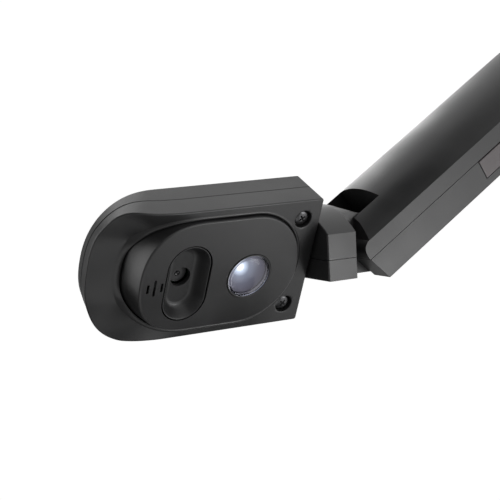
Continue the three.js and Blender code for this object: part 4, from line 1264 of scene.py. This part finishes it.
collar = slab("collar", loaf(1.5), -SLEEVE_LENGTH, -SLEEVE_LENGTH + COLLAR_HEIGHT, ARM)
combine(collar, [slab("column_space", loaf(2.4), -SLEEVE_LENGTH - 1, 0, ARM)])
hand_over(collar, BLACK_PLASTIC, "sleeve", "black_shell", "sleeve_collar", round_mm=0.2)

# %% [markdown]
# ## Column
# The column is an aluminium tube with a white slide cap at its top and a black foot
# with a round knuckle at the fold hinge.

# %% The column's tube, cap and foot
COLUMN_INSET = 2.7
TUBE_LOW = 14
TUBE_TOP = 185
LUG_HALF_GAP = 17.4
FOLD_PIN_RADIUS = 3
tube = slab("tube", loaf(COLUMN_INSET), TUBE_LOW, TUBE_TOP, FOLD)
combine(tube, [slab("inside", loaf(COLUMN_INSET + 1.8), 0, TUBE_TOP + 1, FOLD)])
hand_over(tube, ALUMINIUM, "column", "aluminium", "column_tube", round_mm=0.4, steps=3)

cap = slab("cap", loaf(ARM_WALL + 0.3), TUBE_TOP + 0.3, TUBE_TOP + 5, FOLD, 0.5, 0.2)
combine(cap, [slab("plug", loaf(COLUMN_INSET + 2.1), TUBE_TOP - 12, TUBE_TOP + 1, FOLD)], "UNION")
hand_over(cap, WHITE_PLASTIC, "column", "white_part", "column_cap", round_mm=0.2)

foot = side_slab("foot", arc((0, 0), -FLAT, -FLAT, 2, 0, math.tau * 79 / 80, 80),
                 0.3 - LUG_HALF_GAP, LUG_HALF_GAP - 0.3, FOLD, 0.4)
waist_outline = np.array([(-17.1, -5.6), (17.1, -5.6), (17.1, 8.2), (-17.1, 8.2)])
combine(foot, [
    slab("skirt", loaf(COLUMN_INSET), 10.2, TUBE_LOW - 0.3, FOLD, 0.3),
    slab("waist", waist_outline, 0, 11, FOLD),
    slab("plug", loaf(COLUMN_INSET + 2.1), 12, 34, FOLD)], "UNION")
combine(foot, [bar_across(FOLD_PIN_RADIUS + BORE_GAP, -WIDE, WIDE, (0, 0), FOLD)])
hand_over(foot, BLACK_PLASTIC, "column", "black_shell", "column_foot", round_mm=0.25)

# %% [markdown]
# ## Base
# The base is a flat box with a round front and rounded corners at the back. Its two
# shells meet in a seam. The top cover carries the lugs of the fold hinge, the two
# buttons, the status light and the opening of the port.

# %% The base's outline
BASE_WIDTH, BASE_BACK = 112, 95
BASE_CORNER = 14
BASE_STRAIGHT = -30
BASE_ROUNDNESS = 2.3
BASE_WALL = 2.4
BASE_FOOT, BASE_SEAM, BASE_TOP = 1.3, 8, 18.3
BASE_EDGE, BASE_LOW_EDGE = 1.5, 0.9
BASE_GAP, BASE_CUT = 0.3, 0.25          # the seam's gap and the chamfers beside it
BOSS_BORE_TOP = 14.5
FOLD_Y, FOLD_Z = 66, 30
BASE_SCREWS = [(-46, 82), (46, 82), (-40, -56), (40, -56)]
BASE_RECESS = 2.6


def base_outline(depth):
    half, back = BASE_WIDTH / 2 - depth, BASE_BACK - depth
    corner = BASE_CORNER - depth
    quarter = math.pi / 2
    side = np.linspace(back - corner, BASE_STRAIGHT, 12)[1:-1]
    return np.vstack([
        arc((half - corner, back - corner), corner, corner, 2, 0, quarter, 18),
        arc((corner - half, back - corner), corner, corner, 2, quarter, math.pi, 18),
        np.column_stack([np.full(len(side), -half), side]),
        arc((0, BASE_STRAIGHT), half, back + BASE_STRAIGHT, BASE_ROUNDNESS,
            math.pi, math.tau, 96),
        np.column_stack([np.full(len(side), half), side[::-1]])])


print("base outline points:", len(base_outline(0)))

# %% [markdown]
# ## Base shells
# Both shells are stacks of rings like the head's. The lugs are drawn from the side
# with rounded edges and joined on, and all openings are cut with lead-in chamfers.

# %% The base's top cover and bottom shell
LUG_RADIUS = 9.5
LUG_THICK = 9
BUTTONS = {"capture_button": (-15, -58), "light_button": (15, -58)}
BUTTON_RADIUS = 7
STATUS_SPOT = (0, -74)
PORT = (ROW @ Matrix.Translation((-28, BASE_BACK, BASE_SEAM + 5))
        @ Matrix.Rotation(math.pi / 2, 4, "X"))
CAP_BORE = 6.3
FOLD_SPOT = (FOLD_Y, FOLD_Z)

cover_foot = BASE_SEAM + BASE_GAP
top_cover = ring_skin("top_cover", [
    *lifted(base_outline, ((BASE_WALL, BASE_TOP - BASE_WALL), (BASE_WALL, cover_foot),
                           (BASE_CUT, cover_foot), (0, cover_foot + BASE_CUT))),
    *rounded_rim(base_outline, BASE_TOP, BASE_EDGE, 8)], ROW)
lug_side = np.vstack([
    [(FOLD_Y - LUG_RADIUS, BASE_TOP - 1), (FOLD_Y + LUG_RADIUS + 7, BASE_TOP - 1)],
    arc(FOLD_SPOT, LUG_RADIUS, LUG_RADIUS, 2, 0, math.pi, 40)])
lug_ends = (LUG_HALF_GAP, LUG_HALF_GAP + LUG_THICK)
lugs = [side_slab("lug", lug_side, *sorted(side * end for end in lug_ends), ROW, 0.8)
        for side in (-1, 1)]
combine(top_cover, lugs + bars_up(4, cover_foot, BASE_TOP - 1, BASE_SCREWS, ROW), "UNION")
button_flare = ((0.3, 0), (0.3, BASE_TOP - 0.4), (0.75, BASE_TOP + 0.05), (1.2, BASE_TOP + 2))
button_holes = [turned("hole", [(BUTTON_RADIUS + grow, z) for grow, z in button_flare],
                       spot, ROW, 72) for spot in BUTTONS.values()]
port_mouth = ring_skin("port_mouth", lifted(
    lambda grow: stadium(-grow, (0, 0.2), 2.2, 5.1, 20),
    ((1.0, -1), (0.4, -0.01), (0, 0.4), (0, 12))), PORT)
combine(top_cover, [
    *button_holes, port_mouth, *bars_up(1.9, 0, WIDE, [STATUS_SPOT], ROW),
    bar_across(FOLD_PIN_RADIUS + BORE_GAP, -24.3, 24.3, FOLD_SPOT, ROW),
    bar_across(CAP_BORE, -WIDE, -25.2, FOLD_SPOT, ROW),
    bar_across(CAP_BORE, 25.2, WIDE, FOLD_SPOT, ROW),
    *bars_up(SHANK_BORE, 0, BOSS_BORE_TOP, BASE_SCREWS, ROW, 24)])
hand_over(top_cover, BLACK_PLASTIC, "base", "black_shell", "base_top_cover")

bottom_shell = ring_skin("bottom_shell", [
    *lifted(base_outline, ((BASE_WALL, BASE_FOOT + 2), (BASE_WALL, BASE_SEAM),
                           (BASE_CUT, BASE_SEAM), (0, BASE_SEAM - BASE_CUT))),
    *rounded_rim(base_outline, BASE_FOOT, BASE_LOW_EDGE, 6, -1)], ROW)
combine(bottom_shell, bars_up(5, BASE_FOOT + 1, BASE_SEAM, BASE_SCREWS, ROW), "UNION")
combine(bottom_shell, bars_up(SHANK_BORE, 0, BOSS_BORE_TOP, BASE_SCREWS, ROW, 24) +
        bars_up(RECESS_RADIUS, -1, BASE_FOOT + BASE_RECESS, BASE_SCREWS, ROW))
hand_over(bottom_shell, BLACK_PLASTIC, "base", "black_shell", "base_bottom_shell")
base_seat = BASE_FOOT + BASE_RECESS - SCREW_LIFT
set_screws("base_screws", "base",
           spots(ROW, TO_BELOW, [(x, y, base_seat) for x, y in BASE_SCREWS]), 9.8,
           "base_screw_1", "base_screw_2", "base_screw_3", "base_screw_4")

# %% [markdown]
# ## Sole
# The rubber sole has grooves across it, so that it grips. A second tree lays a row
# of bars at an even spacing, and the row is cut out of the sole.

# %% A tree that lays a row of bars, and the sole
def row_tree():
    tree, start, finish = new_tree(
        "row_of_bars", "Row", ("Points", "Geometry", None), ("Count", "Int", 10),
        ("Spacing", "Float", 0.004), ("Size", "Vector", None), ("Paint", "Material", None))
    step = new_node(tree, "ShaderNodeCombineXYZ")
    line = new_node(tree, "GeometryNodeMeshLine")
    bar = new_node(tree, "GeometryNodeMeshCube")
    on_start = new_node(tree, "GeometryNodeInstanceOnPoints")
    on_line = new_node(tree, "GeometryNodeInstanceOnPoints")
    wire(tree,
         (start, "Spacing", step, "Y"), (start, "Count", line, "Count"),
         (step, "Vector", line, "Offset"), (start, "Size", bar, "Size"),
         (line, "Mesh", on_line, "Points"), (bar, "Mesh", on_line, "Instance"),
         (start, "Points", on_start, "Points"), (on_line, "Instances", on_start, "Instance"))
    make_real(tree, start, on_start, finish, "Row")
    return tree


SOLE_INSET = 4
GROOVES = 43
GROOVE_SPACING = 4.2
FIRST_GROOVE = -88.2
GROOVE_SIZE = (0.13, 0.0012, 0.0008)     # metres
grooves = grow("grooves", row_tree(), spots(ROW, UPRIGHT, [(0, FIRST_GROOVE, 0)]), count=GROOVES,
               spacing=GROOVE_SPACING * MM, size=GROOVE_SIZE, paint=SOLE_RUBBER)
sole = slab("sole", base_outline(SOLE_INSET), 0, BASE_FOOT - 0.3, ROW, 0, 0.25)
combine(sole, [grooves, *bars_up(RECESS_RADIUS + 0.4, -1, 5, BASE_SCREWS, ROW)])
hand_over(sole, SOLE_RUBBER, "base", "rubber", "rubber_sole")

# %% [markdown]
# ## Buttons, caps, light and port
# The buttons are dished for a fingertip and rounded at the rim. The caps close the
# fold hinge. The port is a folded steel shell round a thin tongue.

# %% Buttons, hinge caps, status light and port
BUTTON_FOOT, BUTTON_FLANGE = 12.9, 14.3
BUTTON_ROUND = 0.55
DISH_FLOOR, DISH_DEPTH = BASE_TOP + 0.62, 0.34
RIM_FOOT = BASE_TOP + 0.45
rim = [(BUTTON_RADIUS - BUTTON_ROUND * (1 - math.cos(t)), RIM_FOOT + BUTTON_ROUND * math.sin(t))
       for t in np.linspace(0, math.pi / 2, 6)]
dish = [((BUTTON_RADIUS - 0.9) * share, DISH_FLOOR + DISH_DEPTH * share ** 2)
        for share in np.linspace(0.98, 0.05, 12)]
button_profile = [(0.3, BUTTON_FOOT), (BUTTON_RADIUS + 1, BUTTON_FOOT),
                  (BUTTON_RADIUS + 1, BUTTON_FLANGE), (BUTTON_RADIUS, BUTTON_FLANGE), *rim, *dish]
for name, spot in BUTTONS.items():
    button = turned(name + "_cap", button_profile, spot, ROW, 96)
    hand_over(button, KEY_PLASTIC, name, "dark_key", name, sharp_degrees=40)

status = turned("status", [
    (0.2, 11.8), (1.6, 11.8), (1.6, BASE_TOP - 0.1), (1.45, BASE_TOP + 0.05),
    (0.9, BASE_TOP + 0.1), (0.2, BASE_TOP + 0.1)], STATUS_SPOT, ROW, 48)
hand_over(status, STATUS_GLOW, "base", "lamp", "status_light")

CAP_FACE = LUG_HALF_GAP + LUG_THICK + 0.4
cap_profile = [
    (0.3, 25.5), (6, 25.5), (6, CAP_FACE - 0.5), (5.85, CAP_FACE - 0.15), (5.5, CAP_FACE),
    (4.2, CAP_FACE), (4.0, CAP_FACE - 0.25), (0.3, CAP_FACE - 0.25)]
for name, side in (("left", -1), ("right", 1)):
    hinge_cap = turned("hinge_cap_" + name, [(r, side * z) for r, z in cap_profile],
                       FOLD_SPOT, ROW @ ACROSS)
    hand_over(hinge_cap, KEY_PLASTIC, "base", "dark_key", "fold_cap_" + name)

PORT_HALF_HEIGHT, PORT_HALF_WIDTH = 1.8, 4.7
PORT_RINGS = ((0, 8.2), (0, 0.35), (0.1, 0.2), (0.3, 0.2), (0.4, 0.35), (0.4, 7.2))
port = ring_skin("port", lifted(
    lambda depth: stadium(depth, (0, 0.2), PORT_HALF_HEIGHT, PORT_HALF_WIDTH, 20),
    PORT_RINGS), PORT)
combine(port, [block("tongue", (-3.3, -0.15, 1.2), (3.3, 0.55, 8.1), PORT)], "UNION")
hand_over(port, BRIGHT_STEEL, "base", "steel", "usb_port")

# %% [markdown]
# ## Pieces kept from the design model
# The pins, bushes, washers, boards and weights are inside, and their shapes are
# finished already. They keep their meshes and get their real surfaces.

# %% Finishes for the kept pieces
KEPT = {
    BRIGHT_STEEL: ("microphone", "roll_spindle", "roll_nut", "hinge_bush", "roll_bush", "neck_pin",
                   "friction_washer_left", "friction_washer_right", "fold_pin", "base_weight"),
    BOARD_MASK: ("camera_board", "light_board", "key_board", "button_board", "port_board"),
    LAMP_CHIP: ("light_emitter",),
}
for paint, names in KEPT.items():
    for name in names:
        kept = frame["nodes"][name]
        kept.data.materials.clear()
        kept.data.materials.append(paint)
    print(paint.name, "on", len(names), "pieces")

# %% Both boxes and the growth
new_low, new_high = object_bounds()
growth = (*(cad_low - new_low), *(new_high - cad_high))
print("grown by, mm:", [round(float(v) * 1000, 2) for v in growth])
